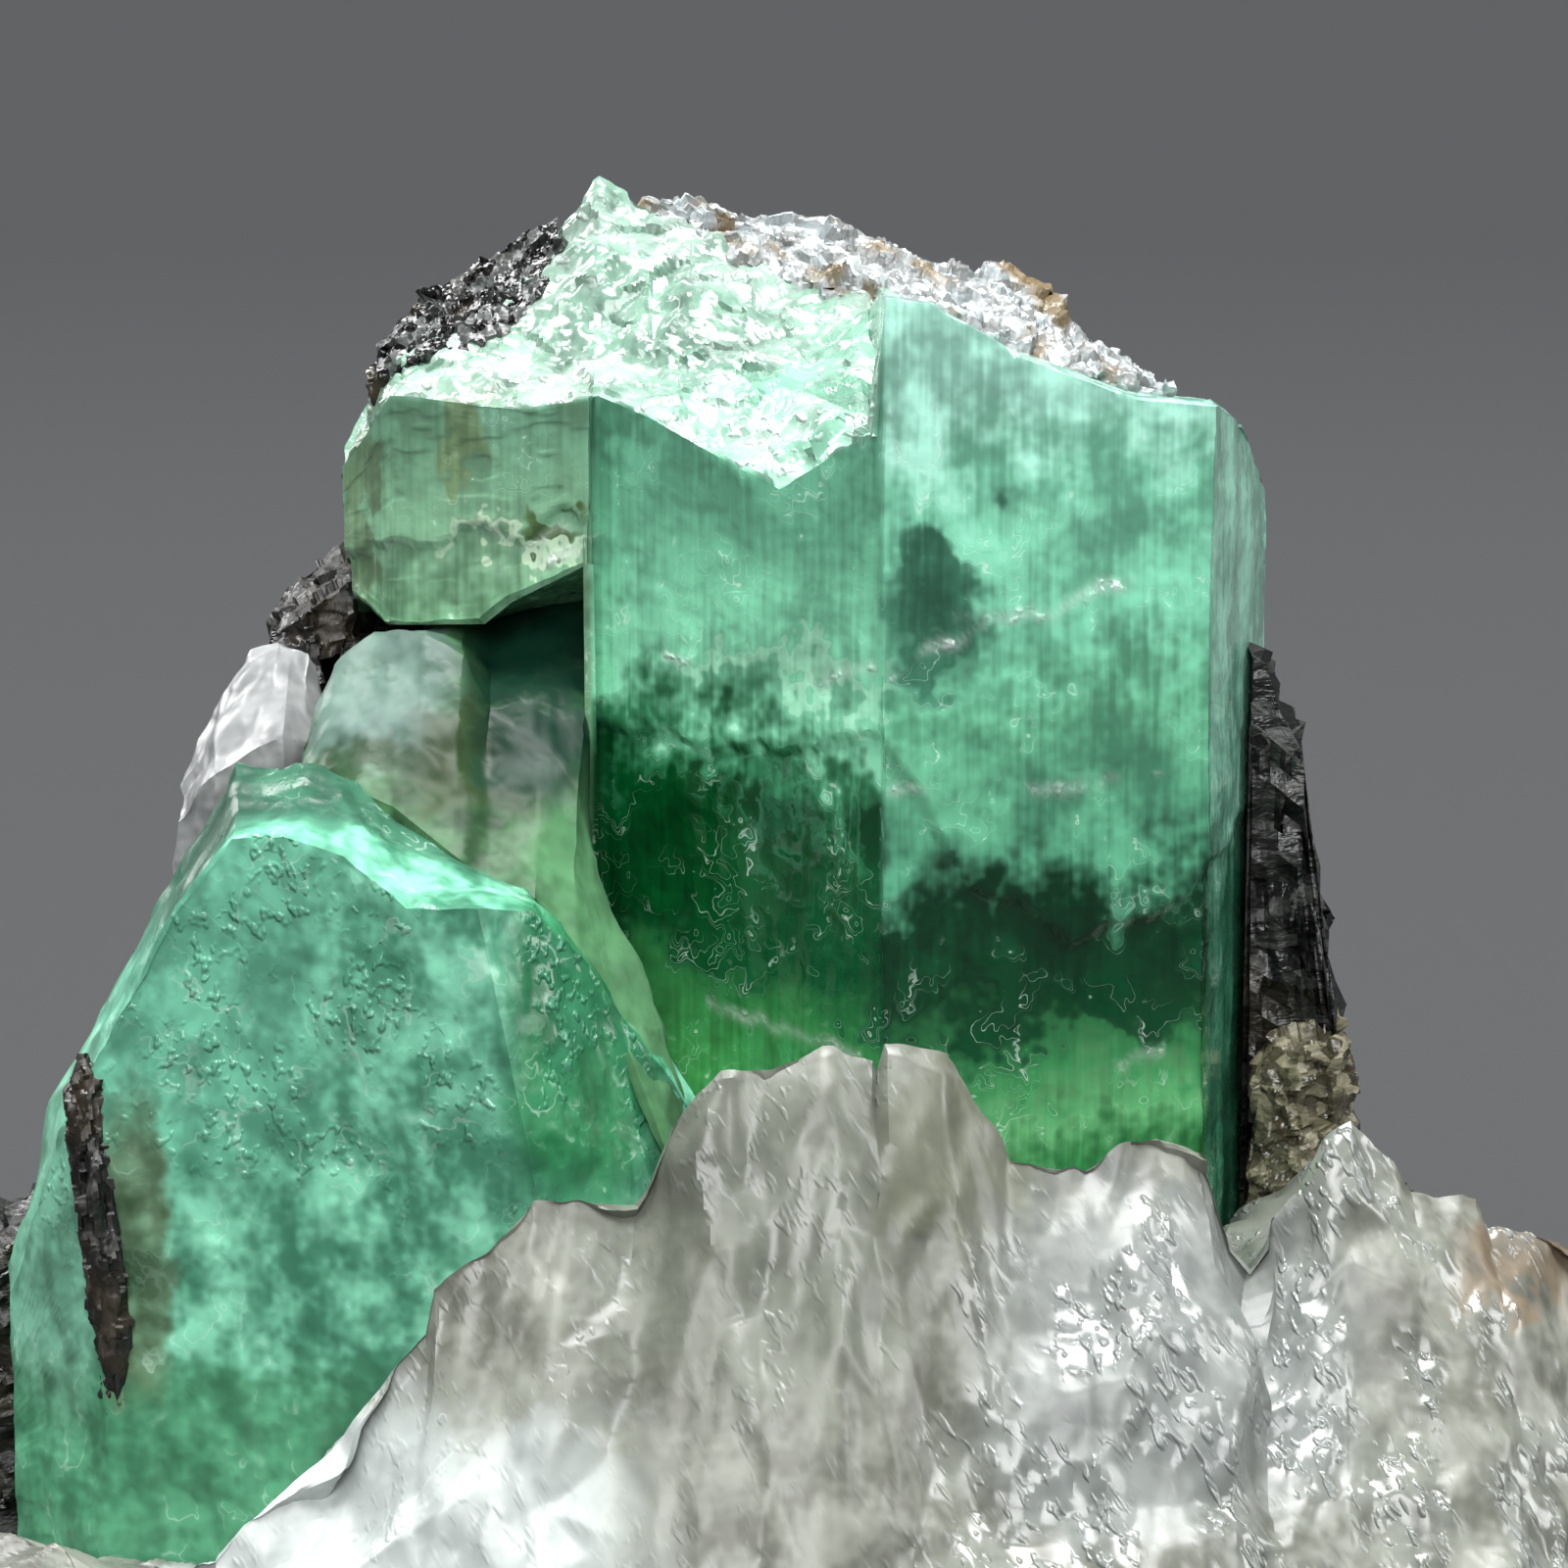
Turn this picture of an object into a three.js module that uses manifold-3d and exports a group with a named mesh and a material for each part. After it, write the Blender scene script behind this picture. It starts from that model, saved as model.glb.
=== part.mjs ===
// Emerald crystals on quartz: a hand specimen with two green beryl prisms in a broken quartz ridge,
// backed by dark mica schist. Millimetres, +Z up, +X to the right of the front, +Y to the back.
// The origin is on the flat sawn base, under the big crystal.
import * as THREE from 'three';
import { LoftGeometry } from 'three/addons/geometries/LoftGeometry.js';
import { ImprovedNoise } from 'three/addons/math/ImprovedNoise.js';
import { mergeVertices } from 'three/addons/utils/BufferGeometryUtils.js';
import Module from 'manifold-3d';

// Driving dimensions.
const GAP = 0.3;
const WELD = 1e-5;
const BASE_Z = 0;
const EMERALD_ROOT_Z = 6;

// Every outline is a list of [x, value] pairs, read by straight lines between its points. `surface` gives
// the longest stretch between two sections, how far the surface is lumpy, and the size of the lumps.

// Big crystal: the plan of its prism faces, and the lobe that overlaps it left of x = -4.8.
const MAIN = {
  front: [[-10.2, 1.9], [-9.1, 0.5], [-4.9, -1.1], [-4.8, -0.5], [1.2, -5.2], [8.1, -2.5], [9.7, 4.4]],
  back: [[-10.2, 2.9], [-8.8, 5.5], [-3.2, 6.9], [3.3, 9.4], [9.7, 5.2]],
  root: [[-10.2, 22.2], [-9.4, 21.6], [-7.2, 21.7], [-6.6, 22.2], [-4.9, 23.1], [-4.8, EMERALD_ROOT_Z]],
  rootBack: [[-10.2, 21.6], [-4.9, 20], [-4.8, EMERALD_ROOT_Z]],
  lip: [
    [-10.2, 24.9], [-9.1, 26.5], [-6.1, 26.3], [-4.7, 26.6], [-3.6, 26.2], [-2, 25.4], [-0.9, 24.9],
    [0.2, 25.7], [1.1, 26.1], [1.25, 28.9], [2.2, 28.7], [4.1, 27.6], [6.4, 26.7], [8.2, 26.5],
    [9, 25.8], [9.7, 24.2],
  ],
  ledgeY: [
    [-10.2, 2.2], [-9.1, 1.3], [-7.8, 1.3], [-4.4, 0.9], [-2.9, 0.2], [-1.6, -0.6], [-0.4, -2],
    [0.4, -3.2], [1.1, -4.6], [1.25, -4.4], [8.1, -1.6], [9.7, 4.6],
  ],
  ledge: [
    [-10.2, 25.1], [-9.1, 26.7], [-7.8, 27.2], [-6.2, 27.1], [-4.4, 27.2], [-1.6, 27], [-0.4, 26.7],
    [1.1, 26.2], [1.25, 28.9], [2.2, 28.7], [4.1, 27.6], [6.4, 26.7], [8.2, 26.5], [9, 25.8], [9.7, 24.2],
  ],
  crestY: [
    [-10.2, 2.5], [-9.3, 3.4], [-4.8, 4], [-3.4, 3.8], [-0.7, 2.4], [1.1, 1.6], [1.25, 2], [9, 2.6],
    [9.7, 4.8],
  ],
  crest: [
    [-10.2, 25.3], [-9.3, 27.1], [-8.6, 27.9], [-6, 29.6], [-4.8, 30.9], [-3.4, 30.2], [-1.6, 29.4],
    [-0.7, 28.9], [1.1, 28.6], [1.25, 28.7], [4.1, 27.3], [6.4, 26.5], [8.2, 26.3], [9, 25.6], [9.7, 24],
  ],
  backTop: [[-10.2, 24.8], [-8.8, 25.8], [-4.8, 28], [1.2, 27.2], [5.3, 25.6], [9.7, 23.4]],
  // Lower edge of the outer layer that still covers the upper part of the front faces.
  layer: [
    [-10.2, 23.2], [-4.9, 24], [-4.8, 19.8], [-2.4, 19.2], [1.2, 19.8], [3, 17], [5.2, 15.6], [7.4, 16.2],
    [9.7, 17.6],
  ],
  layerDepth: 0.15,
  surface: { step: 3 },
};

// Smaller crystal at the lower left: its prism edges lean over to the left.
const SIDE = {
  front: [[-17.2, -1.9], [-16, -3.4], [-15.1, -4.4], [-12, -5.2], [-6.8, -7.4], [-5, -5.6], [-3.1, -3.9]],
  back: [[-17.2, -0.6], [-16, 1.4], [-13, 2.4], [-5, 1], [-3.1, -3.2]],
  lip: [
    [-17.2, 7.6], [-16, 11.2], [-15.1, 13.1], [-13.3, 16.3], [-12, 17.9], [-10.8, 18], [-9.5, 17.7],
    [-8.3, 16.7], [-6.7, 16.8], [-5.8, 16.6], [-4.8, 15], [-3.1, 11.2],
  ],
  crestY: [[-17.2, -1.3], [-15.4, -0.5], [-12, -2], [-9, -3], [-6, -4.2], [-3.1, -3.6]],
  crest: [
    [-17.2, 8.6], [-16.3, 11.8], [-14.1, 15.7], [-12.1, 19], [-10.4, 19.1], [-8.9, 18.5], [-6.9, 17.1],
    [-5.9, 16.8], [-5, 15.6], [-4, 13.6], [-3.1, 11.5],
  ],
  backTop: [[-17.2, 8], [-14.1, 13], [-12, 16], [-9, 16], [-5, 12.5], [-3.1, 11.2]],
  root: [[-17.2, 2], [-12, 1.2], [-8, 3], [-3.1, 6]],
  surface: {
    step: 1.5,
    lean: [[-17.2, 0], [-12, 0.04], [-7, 0.2], [-3.1, 0.2]],
    leanZ: 16,
  },
};

// Dark streak sunk in the small crystal's left face, as a lens carried up z.
const VEIN = {
  halfWidth: [[5.4, 0.05], [6.2, 0.35], [8.4, 0.5], [11.2, 0.45], [12.4, 0.5], [13.2, 0.05]],
  halfDepth: [[5.4, 0.1], [7, 0.7], [12.4, 0.7], [13.2, 0.1]],
  x: [[5.4, -14.7], [8.4, -14.8], [11.2, -15.1], [13.2, -15.3]],
  y: [[5.4, -4.2], [13.2, -4]],
  step: 1,
  sides: 8,
};

// Quartz: a jagged ridge in front of the crystals, a pocket floor behind it, and the sawn base.
const QUARTZ = {
  toeY: [[-18.4, -3.5], [-16.5, -8.5], [-11, -12.6], [0, -13], [9, -12.2], [16, -10.4], [18.4, -7]],
  toe: [[-18.4, 1.6], [-12, 2.4], [0, 3.4], [9, 3.2], [18.4, 2]],
  shoulderY: [
    [-18.4, -3.2], [-13, -10.6], [-8, -10.9], [-5.4, -10.6], [-1.2, -9.9], [0.3, -9.9], [1.2, -9.6],
    [3.6, -9.4], [5.2, -9.2], [6.8, -8.6], [8.2, -8.8], [9, -8], [10.6, -7.2], [13.6, -6.8], [18.4, -5],
  ],
  shoulder: [
    [-18.4, 2.4], [-13, 3.1], [-8, 5.6], [-5.4, 8.4], [-1.2, 9.8], [0.3, 10.6], [1.2, 10.2], [3.6, 8.8],
    [5.2, 8.2], [6.8, 8.8], [8.2, 8], [9, 7], [10.6, 8.6], [13.6, 7.6], [18.4, 4.4],
  ],
  crestY: [
    [-18.4, -2.6], [-12.1, -10.4], [-8, -9.5], [-3.2, -8.5], [1, -8.1], [5.9, -6.9], [10.4, -5.6],
    [18.4, -4],
  ],
  crest: [
    [-18.4, 2.8], [-14, 3.4], [-12.1, 4.2], [-10, 6.5], [-8, 8.6], [-7.8, 9.5], [-6.7, 10.3], [-5.8, 11.2],
    [-3.9, 11.2], [-3.1, 12.6], [-2, 13.6], [0.2, 14.1], [0.9, 13.8], [1.05, 13.2], [1.3, 14.1], [2.4, 13.4],
    [3.6, 12.1], [3.8, 11.7], [5.3, 11.5], [6, 11.9], [6.8, 12.1], [7.9, 11.8], [8.2, 11], [8.8, 9.3],
    [9.1, 10.2], [10, 10.5], [10.4, 11.6], [10.8, 12], [11.7, 11.2], [12.1, 10.6], [13.4, 10.3],
    [13.7, 9.7], [15.4, 9.5], [17.4, 8.1], [18.4, 5.4],
  ],
  pocketY: [[-18.4, -2], [-12.1, -8.4], [-3.2, -6.7], [5.9, -5], [10.4, -3.2], [18.4, -2.4]],
  pocket: [
    [-18.4, 2.6], [-12.1, 3], [-6, 9], [2, 11.2], [6, 9.4], [8.8, 8.6], [10.8, 10], [15.4, 8.2],
    [18.4, 4.6],
  ],
  backY: [[-18.4, -1], [-14, 2.6], [9, 2.6], [15, 2], [18.4, -1]],
  back: [[-18.4, 2.2], [-12, 7], [-4, 9], [9, 8.2], [12, 7.6], [15, 6.4], [18.4, 3.6]],
  surface: { step: 1.2, rough: 0.8, grain: 1.3 },
};

// Olive-grey quartz filling the corner between the two crystals, from the lobe down to the ridge.
const WEDGE = {
  front: [[-11, -1.8], [-9.5, -3], [-7.4, -4.2], [-5.7, -4.8], [-4.4, -5], [-2.9, -5.4]],
  lip: [
    [-11, 18.6], [-10.4, 18.8], [-8.9, 18.3], [-6.9, 16.9], [-5.9, 16.6], [-5, 15.4], [-4, 13.5],
    [-2.9, 10.6],
  ],
  crestY: [[-11, -0.8], [-9.5, 0], [-7.4, -1], [-5.7, -2], [-4.4, -3.2], [-2.9, -4.2]],
  crest: [
    [-11, 19.2], [-10.3, 20.7], [-9.5, 21.2], [-8.4, 21.1], [-7.4, 20.6], [-7.2, 19.9], [-5.7, 19.3],
    [-5.1, 18.6], [-4.9, 17.7], [-4.4, 16.1], [-3.6, 14.5], [-2.9, 12.4],
  ],
  back: [[-11, 1], [-9.5, 3], [-5, 3], [-2.9, 1]],
  backTop: [[-11, 18.8], [-9.5, 19.6], [-8, 22], [-5.4, 22.6], [-5.1, 15], [-2.9, 12]],
  root: [[-11, 15], [-2.9, 7]],
  surface: { step: 1, rough: 0.4, grain: 1.1 },
};

// Dark schist: a slab behind the crystals, taller in the middle, cut off flat at the base.
const SCHIST = {
  frontY: [[-18.4, 0.2], [-16, 1.8], [11, 1.8], [15.5, 1], [17.6, 0]],
  lip: [
    [-18.4, 7.2], [-16, 8.6], [-13, 14], [-10.5, 20], [9.4, 19.6], [10.4, 18.6], [11.2, 12.6], [11.9, 8.6],
    [17.6, 4.6],
  ],
  crestY: [[-18.4, 3], [-12, 4.6], [10, 6.4], [17.6, 3]],
  crest: [
    [-18.4, 8.2], [-16.6, 9.4], [-13.4, 16], [-11.6, 20.6], [-10, 22], [-5, 24.2], [1, 25.2], [6, 23.8],
    [9.6, 21.2], [10.3, 19.8], [10.7, 17], [11.2, 13.4], [12, 9], [17.6, 5],
  ],
  back: [[-18.4, 4.6], [-14, 8.6], [-4, 11.6], [4, 12], [10, 9.6], [17.6, 4.4]],
  backTop: [[-18.4, 5], [-13, 11], [-5, 18], [4, 18.6], [10, 13], [12, 7], [17.6, 3.6]],
  heel: [[-18.4, 1.6], [0, 5], [17.6, 1.4]],
  surface: { step: 1.8, rough: 1.3, grain: 1.9 },
};

// White quartz lump behind the small crystal.
const CHIP = {
  front: [[-13.8, 0.6], [-12.9, -0.4], [-11.4, -0.6], [-10.4, 0.4]],
  lip: [[-13.8, 17.4], [-12.9, 18.6], [-11.4, 19.4], [-10.4, 18.8]],
  crestY: [[-13.8, 1.6], [-12.3, 2.2], [-10.4, 1.8]],
  crest: [[-13.8, 18.2], [-12.9, 19.9], [-12.3, 20.9], [-11.7, 21.2], [-11, 20.9], [-10.4, 19.2]],
  back: [[-13.8, 2.4], [-12.3, 4.2], [-10.4, 3]],
  backTop: [[-13.8, 17.6], [-12.3, 19.6], [-10.4, 18.6]],
  root: [[-13.8, 15.8], [-12.3, 14.6], [-10.4, 15.8]],
  surface: { step: 0.7, rough: 0.35, grain: 0.9 },
};

// Black mica flake above the white lump.
const FLAKE = {
  front: [[-11.9, 2.6], [-11, 2], [-10.1, 2.4]],
  lip: [[-11.9, 21.2], [-11, 21.8], [-10.1, 22.4]],
  back: [[-11.9, 4], [-10.1, 5]],
  crest: [[-11.9, 21.6], [-11.4, 22.3], [-10.4, 23], [-10.1, 22.8]],
  root: [[-11.9, 20.6], [-10.1, 20.8]],
  surface: { step: 0.5, rough: 0.3, grain: 0.6 },
};

// Tan mica block at the lower right of the big crystal, split in flat leaves.
const BOOK = {
  front: [[9.4, 0.8], [10.2, 0.2], [11, 0.4], [11.5, 1.2]],
  lip: [[9.4, 11.6], [9.9, 12.3], [11.1, 12.5], [11.5, 11.8]],
  back: [[9.4, 3.4], [11.5, 3.6]],
  crest: [[9.4, 12], [9.9, 12.6], [11.2, 12.9], [11.5, 12.2]],
  root: [[9.4, 8.6], [10.4, 8.9], [11.5, 9.6]],
  surface: { step: 0.5, rough: 0.4, grain: 0.7 },
};

// Grey-brown mica crust over the back of the big crystal's top.
const CRUST = {
  front: [[-3.8, 4], [-2.4, 3.4], [-0.7, 2.4], [0.8, 1.4], [2, 0.8], [5, 0.6], [7.4, 1.2]],
  crestY: [[-3.8, 4.6], [-2.4, 4.6], [1, 4.2], [5, 4], [7.4, 2.4]],
  crest: [
    [-3.8, 30.4], [-3.2, 30.5], [-2.4, 30.3], [-0.5, 30.1], [0.8, 29.7], [2, 29.3], [3.7, 29.1], [5, 28.7],
    [5.3, 27.9], [6.3, 27.2], [7.4, 26.7],
  ],
  back: [[-3.8, 5.2], [-2.4, 6.6], [1, 7.6], [5, 6.6], [7.4, 4]],
  sill: [[-3.8, 29.8], [-2.4, 29.2], [-0.7, 28.4], [2, 28], [5, 26.6], [7.4, 26.1]],
  sillBack: [[-3.8, 28.6], [-2.4, 27.6], [1, 27], [5, 25.7], [7.4, 25.6]],
  edge: 0.5,
  surface: { step: 0.7, rough: 0.35, grain: 0.8 },
};

// Dark mica lying on the left part of the big crystal's broken slope.
const SLOPE_MICA = {
  front: [[-9.6, 2], [-8.1, 1.5], [-6.7, 2], [-5.7, 3.2]],
  lip: [[-9.6, 26.8], [-8.1, 27.4], [-6.7, 27.8], [-5.7, 29]],
  crestY: [[-9.6, 2.8], [-8.6, 3.5], [-5.7, 4]],
  crest: [[-9.6, 27], [-8.6, 28.4], [-6.7, 29.7], [-5.7, 30.2]],
  back: [[-9.6, 3.4], [-8.6, 4.8], [-5.7, 4.8]],
  backTop: [[-9.6, 26.6], [-8.6, 27.4], [-5.7, 29.2]],
  depth: 0.7,
  surface: { step: 0.6, rough: 0.2, grain: 0.6 },
};

// Colour and roughness of each mineral.
const FINISH = {
  emerald: { color: 0x4fae84, roughness: 0.2 },
  paleEmerald: { color: 0x5cb58c, roughness: 0.25 },
  biotite: { color: 0x2e2415, roughness: 0.5 },
  greyQuartz: { color: 0xb9b4ac, roughness: 0.3 },
  oliveQuartz: { color: 0x9aa58c, roughness: 0.3 },
  whiteQuartz: { color: 0xd9d6d2, roughness: 0.45 },
  schist: { color: 0x2d2c2e, roughness: 0.5 },
  blackMica: { color: 0x1d1b1c, roughness: 0.35 },
  tanMica: { color: 0x8a7358, roughness: 0.5 },
  micaCrust: { color: 0x7f7a74, roughness: 0.45 },
  slopeMica: { color: 0x3b3630, roughness: 0.35 },
};

// Value of an outline at x.
function at(outline, x) {
  if (typeof outline === 'number') {
    return outline;
  }
  const next = outline.findIndex(([px]) => px >= x);
  if (next < 0) {
    return outline[outline.length - 1][1];
  }
  if (next === 0) {
    return outline[0][1];
  }
  const [x0, v0] = outline[next - 1];
  const [x1, v1] = outline[next];
  return v0 + ((v1 - v0) * (x - x0)) / (x1 - x0);
}

// Every x where one of the outlines bends, in order, with long stretches split at `step`.
function stations(outlines, step) {
  const bends = outlines.filter(Array.isArray).flatMap((outline) => outline.map(([x]) => x));
  const sorted = [...new Set(bends)].sort((a, b) => a - b);
  const all = [];
  sorted.forEach((x, i) => {
    const count = i === 0 ? 1 : Math.ceil((x - sorted[i - 1]) / step);
    for (let k = 1; k <= count; k += 1) {
      all.push(i === 0 ? x : sorted[i - 1] + ((x - sorted[i - 1]) * k) / count);
    }
  });
  return all;
}

const lumps = new ImprovedNoise();

// A block lofted along x. Each section is the closed polygon through the rows of corners. A row is a
// y outline, a z outline and the number of parts that the side to the next row is split in. Points above
// the base move in and out by up to `rough`, in lumps of `grain` size. Below and above `leanZ` they lean
// sideways by `lean` for each unit of height.
function block(rows, { step, rough = 0, grain = 1, lean = 0, leanZ = 0 }) {
  const sections = stations(rows.flat(), step).map((x) => {
    const corners = rows.map(([y, z]) => new THREE.Vector2(at(y, x), at(z, x)));
    const middle = new THREE.Vector2();
    corners.forEach((corner) => middle.addScaledVector(corner, 1 / corners.length));
    return rows.flatMap(([, , split = 1], i) => {
      const next = corners[(i + 1) % corners.length];
      return Array.from({ length: split }, (_, k) => {
        const point = corners[i].clone().lerp(next, k / split);
        const lump = point.y > BASE_Z ? rough * lumps.noise(x / grain, point.x / grain, point.y / grain) : 0;
        const outward = point.clone().sub(middle).normalize();
        point.addScaledVector(outward, lump);
        return new THREE.Vector3(x + at(lean, x) * (leanZ - point.y), point.x, point.y);
      });
    });
  });
  return new LoftGeometry(sections, { closed: true, capStart: true, capEnd: true });
}

// A streak lofted up z with lens-shaped sections.
function lens({ halfWidth, halfDepth, x, y, step, sides }) {
  const sections = stations([halfWidth, halfDepth, x, y], step).map((z) =>
    Array.from({ length: sides }, (_, i) => {
      const turn = (2 * Math.PI * i) / sides;
      return new THREE.Vector3(
        at(x, z) + at(halfWidth, z) * Math.cos(turn),
        at(y, z) + at(halfDepth, z) * Math.sin(turn),
        z,
      );
    }),
  );
  return new LoftGeometry(sections, { closed: true, capStart: true, capEnd: true });
}

const wasm = await Module();
wasm.setup();

// Positions alone, with shared corners merged.
function welded(geometry) {
  const plain = new THREE.BufferGeometry();
  plain.setAttribute('position', geometry.getAttribute('position').clone());
  plain.setIndex(geometry.index.clone());
  return mergeVertices(plain, WELD);
}

function solid(geometry) {
  const plain = welded(geometry);
  const vertProperties = Float32Array.from(plain.getAttribute('position').array);
  const triVerts = Uint32Array.from(plain.index.array);
  return new wasm.Manifold(new wasm.Mesh({ numProp: 3, vertProperties, triVerts }));
}

// The same surface moved out along its normals by the clearance that neighbours keep.
function grown(geometry) {
  const plain = welded(geometry);
  plain.computeVertexNormals();
  const position = plain.getAttribute('position');
  const normal = plain.getAttribute('normal');
  for (let i = 0; i < position.count; i += 1) {
    position.setXYZ(
      i,
      position.getX(i) + GAP * normal.getX(i),
      position.getY(i) + GAP * normal.getY(i),
      position.getZ(i) + GAP * normal.getZ(i),
    );
  }
  return plain;
}

function geometryOf(manifold) {
  const { vertProperties, triVerts } = manifold.getMesh();
  const geometry = new THREE.BufferGeometry();
  geometry.setAttribute('position', new THREE.BufferAttribute(vertProperties, 3));
  geometry.setIndex(new THREE.BufferAttribute(triVerts, 1));
  return geometry;
}

// The geometry with its neighbours' room cut away. Loose crumbs left by the cut are dropped.
function fitted(geometry, neighbours) {
  const cut = neighbours.reduce((left, other) => left.subtract(solid(grown(other))), solid(geometry));
  const bodies = cut.decompose();
  return geometryOf(bodies.reduce((a, b) => (a.volume() > b.volume() ? a : b)));
}

// Outline with an amount added to its values.
function moved(outline, by) {
  return outline.map(([x, value]) => [x, value + by]);
}

// Blocks before fitting.
const wholeMain = block(
  [
    [moved(MAIN.front, MAIN.layerDepth), MAIN.root],
    [MAIN.back, MAIN.rootBack],
    [MAIN.back, MAIN.backTop],
    [MAIN.crestY, MAIN.crest],
    [MAIN.ledgeY, MAIN.ledge],
    [MAIN.front, MAIN.lip],
    [MAIN.front, MAIN.layer],
    [moved(MAIN.front, MAIN.layerDepth), moved(MAIN.layer, -MAIN.layerDepth)],
  ],
  MAIN.surface,
);
const wholeSide = block(
  [
    [SIDE.front, SIDE.root],
    [SIDE.back, SIDE.root],
    [SIDE.back, SIDE.backTop],
    [SIDE.crestY, SIDE.crest],
    [SIDE.front, SIDE.lip],
  ],
  SIDE.surface,
);
const vein = lens(VEIN);
const wholeQuartz = block(
  [
    [QUARTZ.toeY, BASE_Z],
    [QUARTZ.backY, BASE_Z],
    [QUARTZ.backY, QUARTZ.back, 2],
    [QUARTZ.pocketY, QUARTZ.pocket, 2],
    [QUARTZ.crestY, QUARTZ.crest, 3],
    [QUARTZ.shoulderY, QUARTZ.shoulder, 4],
    [QUARTZ.toeY, QUARTZ.toe],
  ],
  QUARTZ.surface,
);
const wholeWedge = block(
  [
    [WEDGE.front, WEDGE.root],
    [WEDGE.back, WEDGE.root],
    [WEDGE.back, WEDGE.backTop],
    [WEDGE.crestY, WEDGE.crest, 3],
    [WEDGE.front, WEDGE.lip],
  ],
  WEDGE.surface,
);
const wholeSchist = block(
  [
    [SCHIST.frontY, BASE_Z],
    [SCHIST.back, BASE_Z],
    [SCHIST.back, SCHIST.heel, 4],
    [SCHIST.back, SCHIST.backTop, 3],
    [SCHIST.crestY, SCHIST.crest, 2],
    [SCHIST.frontY, SCHIST.lip],
  ],
  SCHIST.surface,
);
const wholeChip = block(
  [
    [CHIP.front, CHIP.root],
    [CHIP.back, CHIP.root],
    [CHIP.back, CHIP.backTop],
    [CHIP.crestY, CHIP.crest, 2],
    [CHIP.front, CHIP.lip, 2],
  ],
  CHIP.surface,
);
const wholeFlake = block(
  [
    [FLAKE.front, FLAKE.root],
    [FLAKE.back, FLAKE.root],
    [FLAKE.back, FLAKE.crest, 2],
    [FLAKE.front, FLAKE.lip, 2],
  ],
  FLAKE.surface,
);
const wholeBook = block(
  [
    [BOOK.front, BOOK.root],
    [BOOK.back, BOOK.root],
    [BOOK.back, BOOK.crest, 2],
    [BOOK.front, BOOK.lip, 4],
  ],
  BOOK.surface,
);
const wholeCrust = block(
  [
    [CRUST.front, CRUST.sill],
    [CRUST.back, CRUST.sillBack],
    [CRUST.back, moved(CRUST.sillBack, CRUST.edge), 2],
    [CRUST.crestY, CRUST.crest, 2],
    [CRUST.front, moved(CRUST.sill, CRUST.edge)],
  ],
  CRUST.surface,
);
const wholeSlopeMica = block(
  [
    [SLOPE_MICA.front, moved(SLOPE_MICA.lip, -SLOPE_MICA.depth)],
    [SLOPE_MICA.back, moved(SLOPE_MICA.backTop, -SLOPE_MICA.depth)],
    [SLOPE_MICA.back, SLOPE_MICA.backTop],
    [SLOPE_MICA.crestY, SLOPE_MICA.crest, 2],
    [SLOPE_MICA.front, SLOPE_MICA.lip],
  ],
  SLOPE_MICA.surface,
);

// Crystals keep their form, apart from the beds of the mica on them. The rest is cut to sit against them.
const mainEmerald = fitted(wholeMain, [wholeCrust, wholeSlopeMica]);
const sideEmerald = fitted(wholeSide, [wholeMain, vein]);
const wedge = fitted(wholeWedge, [wholeMain, wholeSide]);
const quartz = fitted(wholeQuartz, [wholeMain, wholeSide, wholeWedge]);
const chip = fitted(wholeChip, [wholeMain, wholeSide, wholeWedge]);
const flake = fitted(wholeFlake, [wholeMain, wholeWedge, wholeChip]);
const book = fitted(wholeBook, [wholeMain, wholeQuartz]);
const schist = fitted(
  wholeSchist,
  [wholeMain, wholeSide, wholeWedge, wholeQuartz, wholeChip, wholeFlake, wholeBook],
);

const specimen = new THREE.Group();

// A named piece of the specimen with its own finish.
function place(name, geometry, { color, roughness }) {
  const mesh = new THREE.Mesh(geometry, new THREE.MeshStandardMaterial({ color, roughness, metalness: 0 }));
  mesh.name = name;
  specimen.add(mesh);
}

place('main_emerald', mainEmerald, FINISH.emerald);
place('side_emerald', sideEmerald, FINISH.paleEmerald);
place('biotite_vein', welded(vein), FINISH.biotite);
place('quartz_matrix', quartz, FINISH.greyQuartz);
place('quartz_wedge', wedge, FINISH.oliveQuartz);
place('quartz_chip', chip, FINISH.whiteQuartz);
place('schist_backing', schist, FINISH.schist);
place('left_mica', flake, FINISH.blackMica);
place('mica_book', book, FINISH.tanMica);
place('top_mica_crust', welded(wholeCrust), FINISH.micaCrust);
place('slope_mica', welded(wholeSlopeMica), FINISH.slopeMica);

export default specimen;
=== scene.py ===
"""Looks of a mineral specimen: emerald prisms in a broken quartz ridge, backed by dark mica schist.

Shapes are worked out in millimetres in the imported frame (+Z up, +Y to the back) and stored in metres.
"""

import logging
import math
from dataclasses import dataclass
from enum import Enum
from typing import Any, Callable, Mapping, Optional, Union

import bpy
import numpy as np
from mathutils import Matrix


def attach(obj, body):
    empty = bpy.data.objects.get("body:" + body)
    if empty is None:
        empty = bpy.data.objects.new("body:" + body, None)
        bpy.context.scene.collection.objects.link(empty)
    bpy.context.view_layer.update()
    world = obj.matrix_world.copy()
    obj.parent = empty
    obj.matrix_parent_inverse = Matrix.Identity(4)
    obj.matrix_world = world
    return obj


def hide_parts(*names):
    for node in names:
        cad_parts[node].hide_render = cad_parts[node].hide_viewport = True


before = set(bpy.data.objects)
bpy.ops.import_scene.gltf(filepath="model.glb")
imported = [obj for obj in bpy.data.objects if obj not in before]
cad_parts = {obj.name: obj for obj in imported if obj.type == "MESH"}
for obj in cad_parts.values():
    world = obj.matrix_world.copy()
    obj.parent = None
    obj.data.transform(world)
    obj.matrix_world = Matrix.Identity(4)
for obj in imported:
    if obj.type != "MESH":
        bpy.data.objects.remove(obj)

LOG = logging.getLogger("specimen")
MM = 0.001
BODY = "root"

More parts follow.
